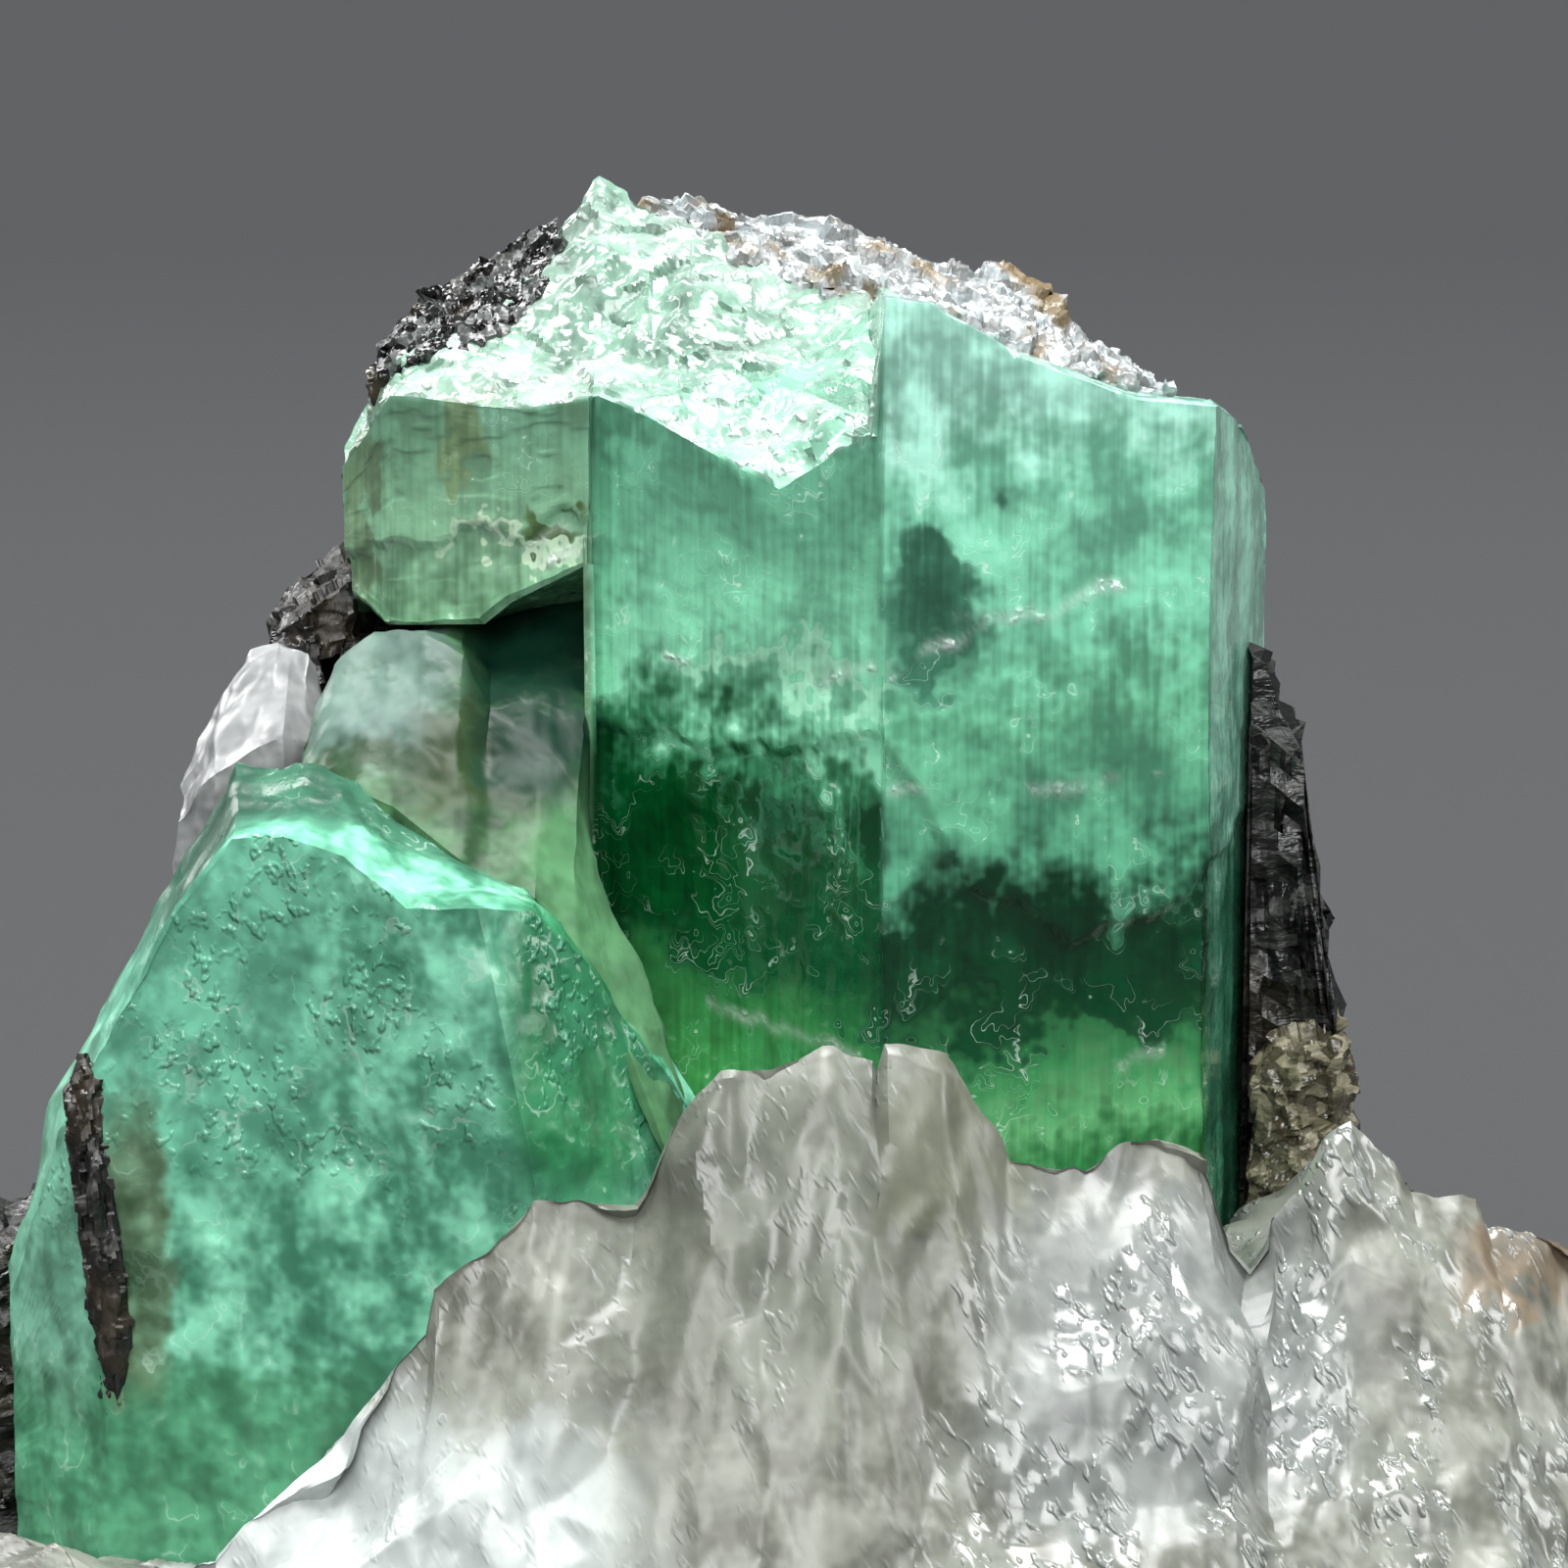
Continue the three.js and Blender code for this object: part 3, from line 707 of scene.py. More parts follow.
@dataclass(frozen=True)
class CrystalFinish:
    """Translucent mineral: colour by growth layers and zones, streaks, healed cracks and fine crumbs.

    The point attribute `broken` is 1 where the surface is a rough break and 0 on smooth growth faces.
    `rough` gives the roughness of faces and of breaks, and `grain` the size of the crumbs. On breaks the
    crumb peaks turn towards the frost colour, a pale frost that is partly a painted glint.
    """

    name: str
    deep: Colour
    pale: Colour
    frost_and_glint: Colour
    zones: tuple[Zone, ...]
    streak: Point
    streak_share: float
    contrast: float
    ragged: float
    feather: float
    sway: float
    grain: Point
    grain_bump: float
    transmission: float
    ior: float
    gloss: float
    rough: tuple[float, float]
    grain_lean: float = 0.0
    cracks: Optional[Cracks] = None
    absorb: Optional[Absorption] = None
    bands: tuple[Band, ...] = ()

    def material(self, effects: Effects) -> bpy.types.Material:
        """Builds the material.

        Args:
            effects: Shared groups.

        Returns:
            The material.
        """
        made, graph = blank_material(self.name)
        position = graph.place()
        broken = graph.node("ShaderNodeAttribute", attribute_name="broken").outputs["Fac"]
        growth = {"Stretch": self.streak, "Ragged": self.ragged, "Feather": self.feather, "Sway": self.sway}
        warp = graph.use(effects.warp, {"Position": position, **growth})
        cloud = warp.outputs["Cloud"]
        tones = {0: self.streak_share, 2: cloud, 3: warp.outputs["Streak"]}
        tone = graph.node("ShaderNodeMix", tones, data_type="FLOAT").outputs[0]
        colour = self._colour(graph, effects, position, warp.outputs["Position"], tone)
        turn = (0.0, math.radians(self.grain_lean), 0.0)
        crumbs = {"Position": position, "Turn": turn, "Size": self.grain}
        grain = graph.use(effects.grain, crumbs).outputs["Height"]
        # Breaks turn pale towards the frost colour, most on the crumb peaks: real frost on a break, and
        # partly painted glints.
        frost_and_glint = graph.math("MULTIPLY", broken, graph.remap(grain, 0.0, 1.0, FROST_AND_GLINT_SHARE))
        colour = graph.mix(frost_and_glint, colour, linear(self.frost_and_glint))
        if self.cracks:
            share = graph.math("MAXIMUM", graph.remap(cloud, *CRACKED_CLOUD), broken)
            colour = self.cracks.over(colour, share, warp.outputs["Bent"], graph, effects)
        bumps = graph.remap(broken, 0.0, 1.0, (CRUMBS_ON_FACES * self.grain_bump, self.grain_bump))
        height = graph.math("MULTIPLY", grain, bumps)
        relief = {"Strength": CRUMB_STRENGTH, "Distance": CRUMB_DEPTH * MM, "Height": height}
        shader = graph.node(
            "ShaderNodeBsdfPrincipled",
            {
                "Base Color": colour,
                "Roughness": graph.remap(broken, 0.0, FULL_BREAK, self.rough),
                "Normal": graph.node("ShaderNodeBump", relief).outputs["Normal"],
                "IOR": self.ior,
                "Specular IOR Level": self.gloss,
                "Transmission Weight": self.transmission,
            },
        )
        ends = {"Surface": shader.outputs[0]}
        if self.absorb:
            inside = {"Color": linear(self.absorb.colour), "Density": self.absorb.density}
            ends["Volume"] = graph.node("ShaderNodeVolumeAbsorption", inside).outputs[0]
        graph.node("ShaderNodeOutputMaterial", ends)
        return made

    def _colour(
        self,
        graph: Graph,
        effects: Effects,
        position: Out,
        warped: Out,
        tone: Out,
    ) -> Out:
        """Lays growth layers and then zones over the body colour, and varies all of it by the tone."""
        colour = graph.mix(graph.remap(tone, *BODY_TONES), linear(self.deep), linear(self.pale))
        if self.bands:
            across = graph.node("ShaderNodeSeparateXYZ", {0: position}).outputs["X"]
            height = graph.node("ShaderNodeSeparateXYZ", {0: warped}).outputs["Z"]
        for band in self.bands:
            begun = graph.remap(across, band.start - EDGE_BLUR, band.start + EDGE_BLUR)
            along = graph.math("SUBTRACT", across, band.start)
            level = graph.math("MULTIPLY_ADD", along, band.dip, height)
            colour = graph.mix(begun, colour, graph.ramp(level, band.stops))
        for zone in self.zones:
            mask = graph.use(effects.zone, {"Position": warped, **zone.inputs()}).outputs["Mask"]
            colour = graph.mix(mask, colour, linear(zone.colour))
        shade = graph.remap(tone, *SHADE_TONES, (1.0 - self.contrast, 1.0 + self.contrast))
        return graph.mix(1.0, colour, shade, "MULTIPLY")


FLAKE_TONES = (0.38, 0.72)
FLAKE_SHINE = (0.1, 0.9)
FLAKE_SHARE = 0.5
FLAKE_DEPTH = 0.2
FINE_HEIGHT = 0.6
STAIN_EDGES = (0.62, 0.78)
STAIN_REACH = 0.3
MICA_IOR = 1.58


@dataclass(frozen=True)
class FlakyFinish:
    """Opaque mica or schist: dark flakes with pale and brown ones among them, glossy on each flake."""

    name: str
    dark: Colour
    light: Colour
    stain: Colour
    stain_share: float
    flake_scale: float
    flake_stretch: Point
    rough: tuple[float, float]
    bump: float

    def material(self, effects: Effects) -> bpy.types.Material:
        """Builds the material.

        Args:
            effects: Shared groups.

        Returns:
            The material.
        """
        made, graph = blank_material(self.name)
        position = graph.place()
        laid = graph.vector("MULTIPLY", position, self.flake_stretch)
        flakes = graph.use(effects.facets, {"Position": laid, "Scale": self.flake_scale})
        fine = graph.noise(laid, scale=2.6, detail=2.0).outputs["Fac"]
        coarse = graph.math("MULTIPLY", flakes.outputs["Shade"], FLAKE_SHARE)
        shade = graph.math("ADD", coarse, graph.math("MULTIPLY", fine, 1.0 - FLAKE_SHARE))
        colour = graph.mix(graph.remap(shade, *FLAKE_TONES), linear(self.dark), linear(self.light))
        edges = (edge - STAIN_REACH * self.stain_share for edge in STAIN_EDGES)
        stain = graph.remap(graph.noise(position, scale=0.7, detail=2.0).outputs["Fac"], *edges)
        colour = graph.mix(stain, colour, linear(self.stain))
        height = graph.math("ADD", flakes.outputs["Height"], graph.math("MULTIPLY", fine, FINE_HEIGHT))
        relief = {"Strength": self.bump, "Distance": FLAKE_DEPTH * MM, "Height": height}
        shader = graph.node(
            "ShaderNodeBsdfPrincipled",
            {
                "Base Color": colour,
                "Roughness": graph.remap(flakes.outputs["Shade"], *FLAKE_SHINE, self.rough),
                "Normal": graph.node("ShaderNodeBump", relief).outputs["Normal"],
                "IOR": MICA_IOR,
            },
        )
        graph.node("ShaderNodeOutputMaterial", {"Surface": shader.outputs[0]})
        return made


EMERALD = CrystalFinish(
    name="emerald",
    deep=(70, 140, 110),
    pale=(122, 192, 160),
    # Near-white frost on breaks and fractures: partly painted glints and a painted highlight band along the
    # lip.
    frost_and_glint=(240, 246, 244),
    zones=(
        Zone((104, 138, 120), (-3.6, 3.2, 29.2), (6.4, 3.6, 3.2), 0.85),
        Zone((40, 88, 68), (2.3, -4.0, 22.6), (1.0, 3.0, 1.4), 0.9),
        Zone((2, 50, 26), (6.0, -2.6, 14.8), (1.9, 4.0, 1.1), 0.8),
        Zone((0, 62, 24), (-3.2, -1.0, 17.4), (1.5, 4.0, 1.9), 0.9),
        Zone((92, 92, 56), (-9.9, 1.5, 23.6), (0.3, 3.0, 1.8), 0.45),
        Zone((64, 82, 28), (-5.6, -1.0, 24.1), (0.6, 3.0, 0.3), 0.85),
        Zone((108, 114, 66), (-7.6, 0.2, 25.6), (0.5, 3.0, 0.9), 0.5),
        Zone((166, 224, 192), (-1.0, -3.6, 20.9), (2.2, 3.0, 0.3), 0.7),
        Zone((206, 228, 200), (-6.4, -0.6, 23.6), (1.5, 2.0, 0.2), 0.7),
    ),
    streak=(6.0, 6.0, 0.35),
    streak_share=0.24,
    contrast=0.38,
    ragged=6.5,
    feather=0.5,
    sway=0.4,
    grain=(0.28, 0.28, 0.28),
    grain_bump=0.75,
    transmission=0.2,
    ior=1.58,
    gloss=0.5,
    rough=(0.06, 0.16),
    cracks=Cracks((232, 250, 240), stretch=(0.45, 0.45, 2.0), width=0.014, strength=0.42),
    absorb=Absorption((90, 205, 140), density=40.0),
    bands=(
        Band(
            start=-20.0,
            dip=0.0,
            stops=(
                (21.6, (108, 154, 118)), (23.2, (130, 176, 142)), (25.4, (106, 150, 120)),
                (26.6, (100, 146, 120)),
            ),
        ),
        Band(
            start=-4.84,
            dip=0.22,
            stops=(
                (12.4, (72, 156, 84)), (14.4, (54, 132, 72)), (15.8, (12, 74, 40)),
                (19.0, (6, 68, 34)), (20.2, (52, 122, 84)), (21.2, (124, 198, 162)),
                (23.8, (114, 186, 152)), (25.2, (94, 158, 128)), (27.4, (92, 154, 126)),
            ),
        ),
        Band(
            start=1.2,
            dip=-0.05,
            stops=(
                (10.4, (44, 124, 66)), (11.9, (86, 154, 100)), (12.8, (52, 124, 74)),
                (14.2, (4, 54, 28)), (15.8, (8, 60, 34)), (17.2, (78, 146, 114)),
                (20.0, (90, 158, 124)), (22.0, (108, 180, 148)), (24.8, (114, 184, 154)),
                (26.2, (148, 204, 184)), (28.2, (158, 212, 194)),
            ),
        ),
        Band(
            start=8.12,
            dip=0.0,
            stops=(
                (10.0, (58, 122, 92)), (15.6, (66, 130, 102)), (18.4, (130, 190, 166)),
                (25.0, (146, 204, 180)),
            ),
        ),
    ),
)

PALE_EMERALD = CrystalFinish(
    name="pale_emerald",
    deep=(70, 140, 110),
    pale=(116, 186, 156),
    frost_and_glint=(90, 156, 128),
    zones=(
        Zone((100, 172, 144), (-13.6, -3.0, 15.0), (3.4, 5.0, 4.0), 0.8),
        Zone((18, 100, 54), (-4.8, -5.0, 14.0), (1.5, 5.0, 3.4), 0.9),
        Zone((72, 140, 102), (-13.5, -5.0, 4.4), (5.0, 5.0, 2.4), 0.85),
        # Painted shade: the sloping top darkened to damp the highlight from the overhead lamp.
        Zone((38, 82, 62), (-9.0, -2.0, 17.6), (6.0, 2.6, 2.6), 0.95),
        Zone((112, 162, 138), (-16.2, -3.0, 9.6), (1.0, 4.0, 4.0), 0.6),
        Zone((84, 82, 48), (-14.2, -4.6, 9.2), (0.7, 3.0, 3.0), 0.65),
    ),
    streak=(3.0, 3.0, 0.6),
    streak_share=0.12,
    contrast=0.3,
    ragged=4.0,
    feather=0.5,
    sway=0.4,
    grain=(0.24, 0.24, 0.3),
    grain_lean=20.0,
    grain_bump=0.9,
    transmission=0.12,
    ior=1.58,
    gloss=0.3,
    rough=(0.36, 0.08),
    cracks=Cracks((205, 232, 216), stretch=(0.6, 0.6, 0.8), width=0.02, strength=0.3),
)

GREY_QUARTZ = CrystalFinish(
    name="grey_quartz",
    deep=(86, 88, 78),
    pale=(112, 115, 106),
    frost_and_glint=(126, 131, 129),
    zones=(
        Zone((90, 94, 84), (-1.4, -9.0, 11.0), (3.4, 4.0, 3.2), 0.8),
        Zone((92, 96, 81), (2.7, -8.4, 12.0), (1.5, 3.0, 1.6), 0.9),
        Zone((110, 90, 66), (14.6, -5.0, 9.2), (1.5, 4.0, 0.8), 0.6),
        Zone((118, 123, 123), (7.0, -9.5, 8.0), (3.6, 4.0, 3.0), 0.6),
        Zone((184, 192, 190), (-8.4, -11.0, 4.2), (4.6, 4.0, 3.0), 0.7),
    ),
    streak=(1.6, 1.2, 0.4),
    streak_share=0.15,
    contrast=0.16,
    ragged=4.0,
    feather=0.8,
    sway=0.5,
    grain=(0.2, 0.28, 0.65),
    grain_lean=-32.0,
    grain_bump=0.8,
    transmission=0.03,
    ior=1.54,
    gloss=0.5,
    rough=(0.4, 0.17),
)

OLIVE_QUARTZ = CrystalFinish(
    name="olive_quartz",
    deep=(36, 62, 38),
    pale=(60, 98, 64),
    frost_and_glint=(54, 80, 56),
    zones=(
        Zone((92, 114, 107), (-9.6, -1.0, 20.6), (1.8, 4.0, 1.4), 0.9),
        Zone((44, 56, 30), (-7.0, -2.0, 19.2), (1.5, 3.0, 1.0), 0.8),
        Zone((76, 122, 84), (-4.4, -3.5, 15.0), (1.4, 3.0, 3.4), 0.85),
        # Painted shade: the recess under the lobe, where the big crystal's left face lies in shadow.
        Zone((8, 40, 30), (-6.1, 0.5, 20.6), (1.25, 4.0, 2.4), 0.97),
    ),
    streak=(1.4, 1.4, 0.6),
    streak_share=0.15,
    contrast=0.2,
    ragged=3.0,
    feather=1.0,
    sway=0.5,
    grain=(0.4, 0.4, 0.4),
    grain_bump=0.3,
    transmission=0.05,
    ior=1.54,
    gloss=0.1,
    rough=(0.4, 0.3),
)

WHITE_QUARTZ = CrystalFinish(
    name="white_quartz",
    deep=(106, 108, 108),
    pale=(132, 134, 134),
    frost_and_glint=(132, 134, 134),
    zones=(),
    streak=(1.2, 1.2, 1.2),
    streak_share=0.3,
    contrast=0.1,
    ragged=1.0,
    feather=0.5,
    sway=0.2,
    grain=(0.6, 0.6, 0.6),
    grain_bump=0.15,
    transmission=0.0,
    ior=1.54,
    gloss=0.4,
    rough=(0.4, 0.35),
)

SCHIST = FlakyFinish(
    name="schist", dark=(5, 6, 5), light=(24, 27, 23), stain=(34, 32, 23), stain_share=0.3,
    flake_scale=1.6, flake_stretch=(1.0, 1.0, 2.2), rough=(0.34, 0.6), bump=0.9,
)
BIOTITE = FlakyFinish(
    name="biotite", dark=(5, 4, 3), light=(22, 20, 15), stain=(38, 30, 17), stain_share=0.4,
    flake_scale=3.2, flake_stretch=(1.0, 1.0, 0.6), rough=(0.36, 0.6), bump=0.9,
)
TAN_MICA = FlakyFinish(
    name="tan_mica", dark=(60, 56, 42), light=(120, 116, 94), stain=(52, 44, 30), stain_share=0.4,
    flake_scale=2.4, flake_stretch=(1.0, 1.0, 1.6), rough=(0.25, 0.5), bump=0.8,
)
MICA_CRUST = FlakyFinish(
    name="mica_crust", dark=(118, 121, 120), light=(172, 180, 182), stain=(112, 98, 74), stain_share=0.35,
    flake_scale=3.4, flake_stretch=(1.0, 1.0, 1.0), rough=(0.24, 0.45), bump=0.9,
)
DARK_CRUST = FlakyFinish(
    name="dark_crust", dark=(8, 8, 8), light=(72, 76, 74), stain=(56, 50, 38), stain_share=0.25,
    flake_scale=3.4, flake_stretch=(1.0, 1.0, 1.0), rough=(0.1, 0.35), bump=1.0,
)


Finish = Union[CrystalFinish, FlakyFinish]


# Pieces


FOOT_HEIGHT = 1.2
BED_SHARE = 0.1


def kept_flat(height: np.ndarray, points: np.ndarray, bed: np.ndarray) -> np.ndarray:
    """Takes relief away towards the sawn base, and most of it from the bed of a crystal.

    Args:
        height: Relief of shape (columns, around).
        points: The grid, shape (columns, around, 3).
        bed: Whether each point of a section is in a bed.

    Returns:
        Relief of the same shape.
    """
    return np.where(bed, BED_SHARE, 1.0) * height * np.clip(points[..., 2] / FOOT_HEIGHT, 0.0, 1.0)


@dataclass
class Piece:
    """A part of the specimen: its solid, its surface, its finish and its place in the frame."""

    name: str
    node: str
    slot: str
    finish: Finish
    sharp_deg: float = 32.0
    layers: tuple[Layer, ...] = ()

    def shape(self) -> tuple[np.ndarray, np.ndarray]:
        """Works out the solid before its surface is broken up.

        Returns:
            Grid of shape (columns, around, 3), and the side that each point of a section belongs to.
        """
        raise NotImplementedError

    def relief(self, points: np.ndarray, side: np.ndarray) -> np.ndarray:
        """Height of the surface above the solid, in millimetres: by default, the sum of the layers.

        Args:
            points: The grid, shape (columns, around, 3).
            side: Number of the side that each point of a section belongs to.

        Returns:
            Heights of shape (columns, around).
        """
        return stacked(self.layers, points)

    def broken(self, points: np.ndarray, side: np.ndarray) -> np.ndarray:
        """Share of rough break at each point of the grid. By default the whole surface is broken."""
        return np.ones(points.shape[:2])

    def build(self) -> bpy.types.Object:
        """Makes the mesh, moved along its normals by the relief, and gives it its place in the frame."""
        points, side = self.shape()
        moved = points + outward(points) * self.relief(points, side)[..., None]
        made = closed_mesh(self.name, moved, self.broken(points, side), self.sharp_deg)
        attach(made, BODY)
        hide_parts(self.node)
        LOG.info("%s: %d faces", self.name, len(made.data.polygons))
        return made

    def dress(self, made: bpy.types.Object, effects: Effects) -> None:
        """Puts the finish on the mesh."""
        made.data.materials.append(self.finish.material(effects))


@dataclass
class Lofted(Piece):
    """A piece whose solid is a loft along x."""

    step: float = 0.1
    lean: Level = 0.0
    lean_z: float = 0.0

    def rows(self) -> tuple[Row, ...]:
        """Gives the rows of corners, once round a section."""
        raise NotImplementedError

    def shape(self) -> tuple[np.ndarray, np.ndarray]:
        """Lofts the rows."""
        return Loft(self.rows(), self.step, self.lean, self.lean_z).shaped()


@dataclass
class MainEmerald(Lofted):
    """The big upright prism with its broken, sloping top, and the lobe that overlaps it at the left."""

    front: Outline = (
        (-10.2, 1.9), (-9.1, 0.5), (-4.9, -1.1), (-4.8, -0.5), (1.2, -5.2), (8.1, -2.5), (9.7, 4.4),
    )
    back: Outline = ((-10.2, 2.9), (-8.8, 5.5), (-3.2, 6.9), (3.3, 9.4), (9.7, 5.2))
    root: Outline = ((-10.2, 22.2), (-9.4, 21.6), (-7.2, 21.7), (-6.6, 22.2), (-4.9, 23.1), (-4.8, 6.0))
    root_back: Outline = ((-10.2, 21.6), (-4.9, 20.0), (-4.8, 6.0))
    lip: Outline = (
        (-10.2, 24.9), (-9.1, 26.5), (-6.1, 26.3), (-4.7, 26.6), (-3.6, 26.2), (-2.0, 25.4), (-0.9, 24.9),
        (0.2, 25.7), (1.1, 26.1), (1.25, 28.9), (2.2, 28.7), (4.1, 27.6), (6.4, 26.7), (8.2, 26.5),
        (9.0, 25.8), (9.7, 24.2),
    )
    ledge_y: Outline = (
        (-10.2, 2.2), (-9.1, 1.3), (-7.8, 1.3), (-4.4, 0.9), (-2.9, 0.2), (-1.6, -0.6), (-0.4, -2.0),
        (0.4, -3.2), (1.1, -4.6), (1.25, -4.4), (8.1, -1.6), (9.7, 4.6),
    )
    ledge: Outline = (
        (-10.2, 25.1), (-9.1, 26.7), (-7.8, 27.2), (-6.2, 27.1), (-4.4, 27.2), (-1.6, 27.0), (-0.4, 26.7),
        (1.1, 26.2), (1.25, 28.9), (2.2, 28.7), (4.1, 27.6), (6.4, 26.7), (8.2, 26.5), (9.0, 25.8),
        (9.7, 24.2),
    )
    crest_y: Outline = (
        (-10.2, 2.5), (-9.3, 3.4), (-4.8, 4.0), (-3.4, 3.8), (-0.7, 2.4), (1.1, 1.6), (1.25, 2.0),
        (9.0, 2.6), (9.7, 4.8),
    )
    crest: Outline = (
        (-10.2, 25.3), (-9.3, 27.1), (-8.6, 27.9), (-6.0, 29.6), (-4.8, 30.9), (-3.4, 30.2), (-1.6, 29.4),
        (-0.7, 28.9), (1.1, 28.6), (1.25, 28.7), (4.1, 27.3), (6.4, 26.5), (8.2, 26.3), (9.0, 25.6),
        (9.7, 24.0),
    )
    back_top: Outline = ((-10.2, 24.8), (-8.8, 25.8), (-4.8, 28.0), (1.2, 27.2), (5.3, 25.6), (9.7, 23.4))
    bare_below: Outline = (
        (-10.2, 23.2), (-4.9, 24.0), (-4.8, 19.8), (-2.4, 19.2), (1.2, 19.8), (3.0, 17.0), (5.2, 15.6),
        (7.4, 16.2), (9.7, 17.6),
    )
    bare_depth: float = 0.15
    fractures: tuple[Outline, ...] = (
        ((-7.2, 23.7), (-4.8, 23.5)),
        ((-8.2, 22.6), (-5.0, 23.1)),
        ((-3.4, 21.2), (-2.0, 21.0), (-1.2, 20.7), (1.1, 21.2)),
        ((1.3, 21.1), (2.4, 22.0), (3.4, 22.3)),
        ((2.6, 22.6), (4.8, 22.3), (6.4, 22.9), (7.2, 23.0)),
        ((1.3, 18.8), (3.4, 18.6), (6.2, 18.8), (8.0, 19.0)),
        ((1.3, 26.6), (2.4, 26.0), (3.2, 25.6)),
        ((4.4, 12.2), (6.2, 12.8), (7.3, 13.2)),
        ((-2.6, 14.0), (0.8, 13.4)),
    )
    fracture_width: float = 0.26
    edge_x: float = 1.18
    bare_edge: float = 1.2
    face_layers: tuple[Layer, ...] = (
        Layer(smooth_noise, 0.03, (4.0, 4.0, 0.2), 11),
        Layer(smooth_noise, 0.05, (0.9, 0.9, 0.05), 12, treads=3),
        Layer(layered_noise, 0.09, (0.35, 0.35, 0.6), 13, treads=4),
        Layer(layered_noise, 0.012, 3.0, 14),
    )
    rough_layers: tuple[Layer, ...] = (
        Layer(folded_facets, 0.24, 0.8, 15),
        Layer(broken_facets, 0.12, 1.4, 16),
        Layer(folded_facets, 0.1, 2.6, 19),
    )
    smooth_layers: tuple[Layer, ...] = (
        Layer(layered_noise, 0.08, 0.9, 17),
        Layer(folded_facets, 0.05, 1.6, 18),
    )
    jag: Layer = Layer(layered_noise, 0.45, (1.1, 1.1, 0.25), 27)
    gaps: Layer = Layer(layered_noise, 1.8, 0.9, 28)
    slope_break: Layer = Layer(clusters, 0.4, 0.9, 29)
    lip_break: Layer = Layer(clusters, 0.6, 1.4, 30)
    least_break: float = 0.2
    least_lip_break: float = 0.4
    slope_side: int = 3
    lip_side: int = 4

    def rows(self) -> tuple[Row, ...]:
        """Rows from the front foot round the back, over the crest and down the front faces."""
        return (
            Row(self.front, self.root, 6),
            Row(self.back, self.root_back, 40),
            Row(self.back, self.back_top, 24),
            Row(self.crest_y, self.crest, 60),
            Row(self.ledge_y, self.ledge, 30),
            Row(self.front, self.lip, 190),
        )

    def on_top(self, side: np.ndarray) -> np.ndarray:
        """Tells which points of a section lie on the slope or the lip."""
        return np.isin(side, (self.slope_side, self.lip_side))[None, :]

    def broken(self, points: np.ndarray, side: np.ndarray) -> np.ndarray:
        """Patches of the slope and the lip left of the front edge, and the faces along their fractures."""
        left = points[..., 0] < self.edge_x
        # On the slope and, more strongly, on the lip these breaks take the pale frost: partly painted
        # highlight, as white glints and a bright band along the lip.
        slope = np.where(left, self.least_break + self.slope_break.at(points), self.least_break)
        lip = np.where(left, self.least_lip_break + self.lip_break.at(points), self.least_break)
        top = np.where((side == self.slope_side)[None, :], slope, lip)
        return np.where(self.on_top(side), top, self.fractured(points))

    def fractured(self, points: np.ndarray) -> np.ndarray:
        """Share of break near the fractures: 1 on a line, falling to 0 at the fracture width from it."""
        x, level = points[..., 0], points[..., 2] - self.jag.at(points)
        share = np.zeros(x.shape)
        for line in self.fractures:
            within = (x > line[0][0]) & (x < line[-1][0])
            near = 1.0 - np.abs(level - level_at(line, x)) / self.fracture_width
            share = np.maximum(share, np.where(within, near, 0.0))
        return share**2 * np.clip(self.least_break + self.gaps.at(points), 0.0, 1.0)

    def relief(self, points: np.ndarray, side: np.ndarray) -> np.ndarray:
        """Growth lines and shallow terraces on the prism faces, and a hackly break on the slope."""
        x = points[..., 0]
        above = points[..., 2] - self.jag.at(points) - level_at(self.bare_below, x)
        bare = self.bare_depth * np.clip(0.5 - self.bare_edge * above / self.fracture_width, 0.0, 1.0)
        faces = stacked(self.face_layers, points) - bare
        rough, smooth = stacked(self.rough_layers, points), stacked(self.smooth_layers, points)
        return np.where(self.on_top(side), np.where(x < self.edge_x, rough, smooth), faces)


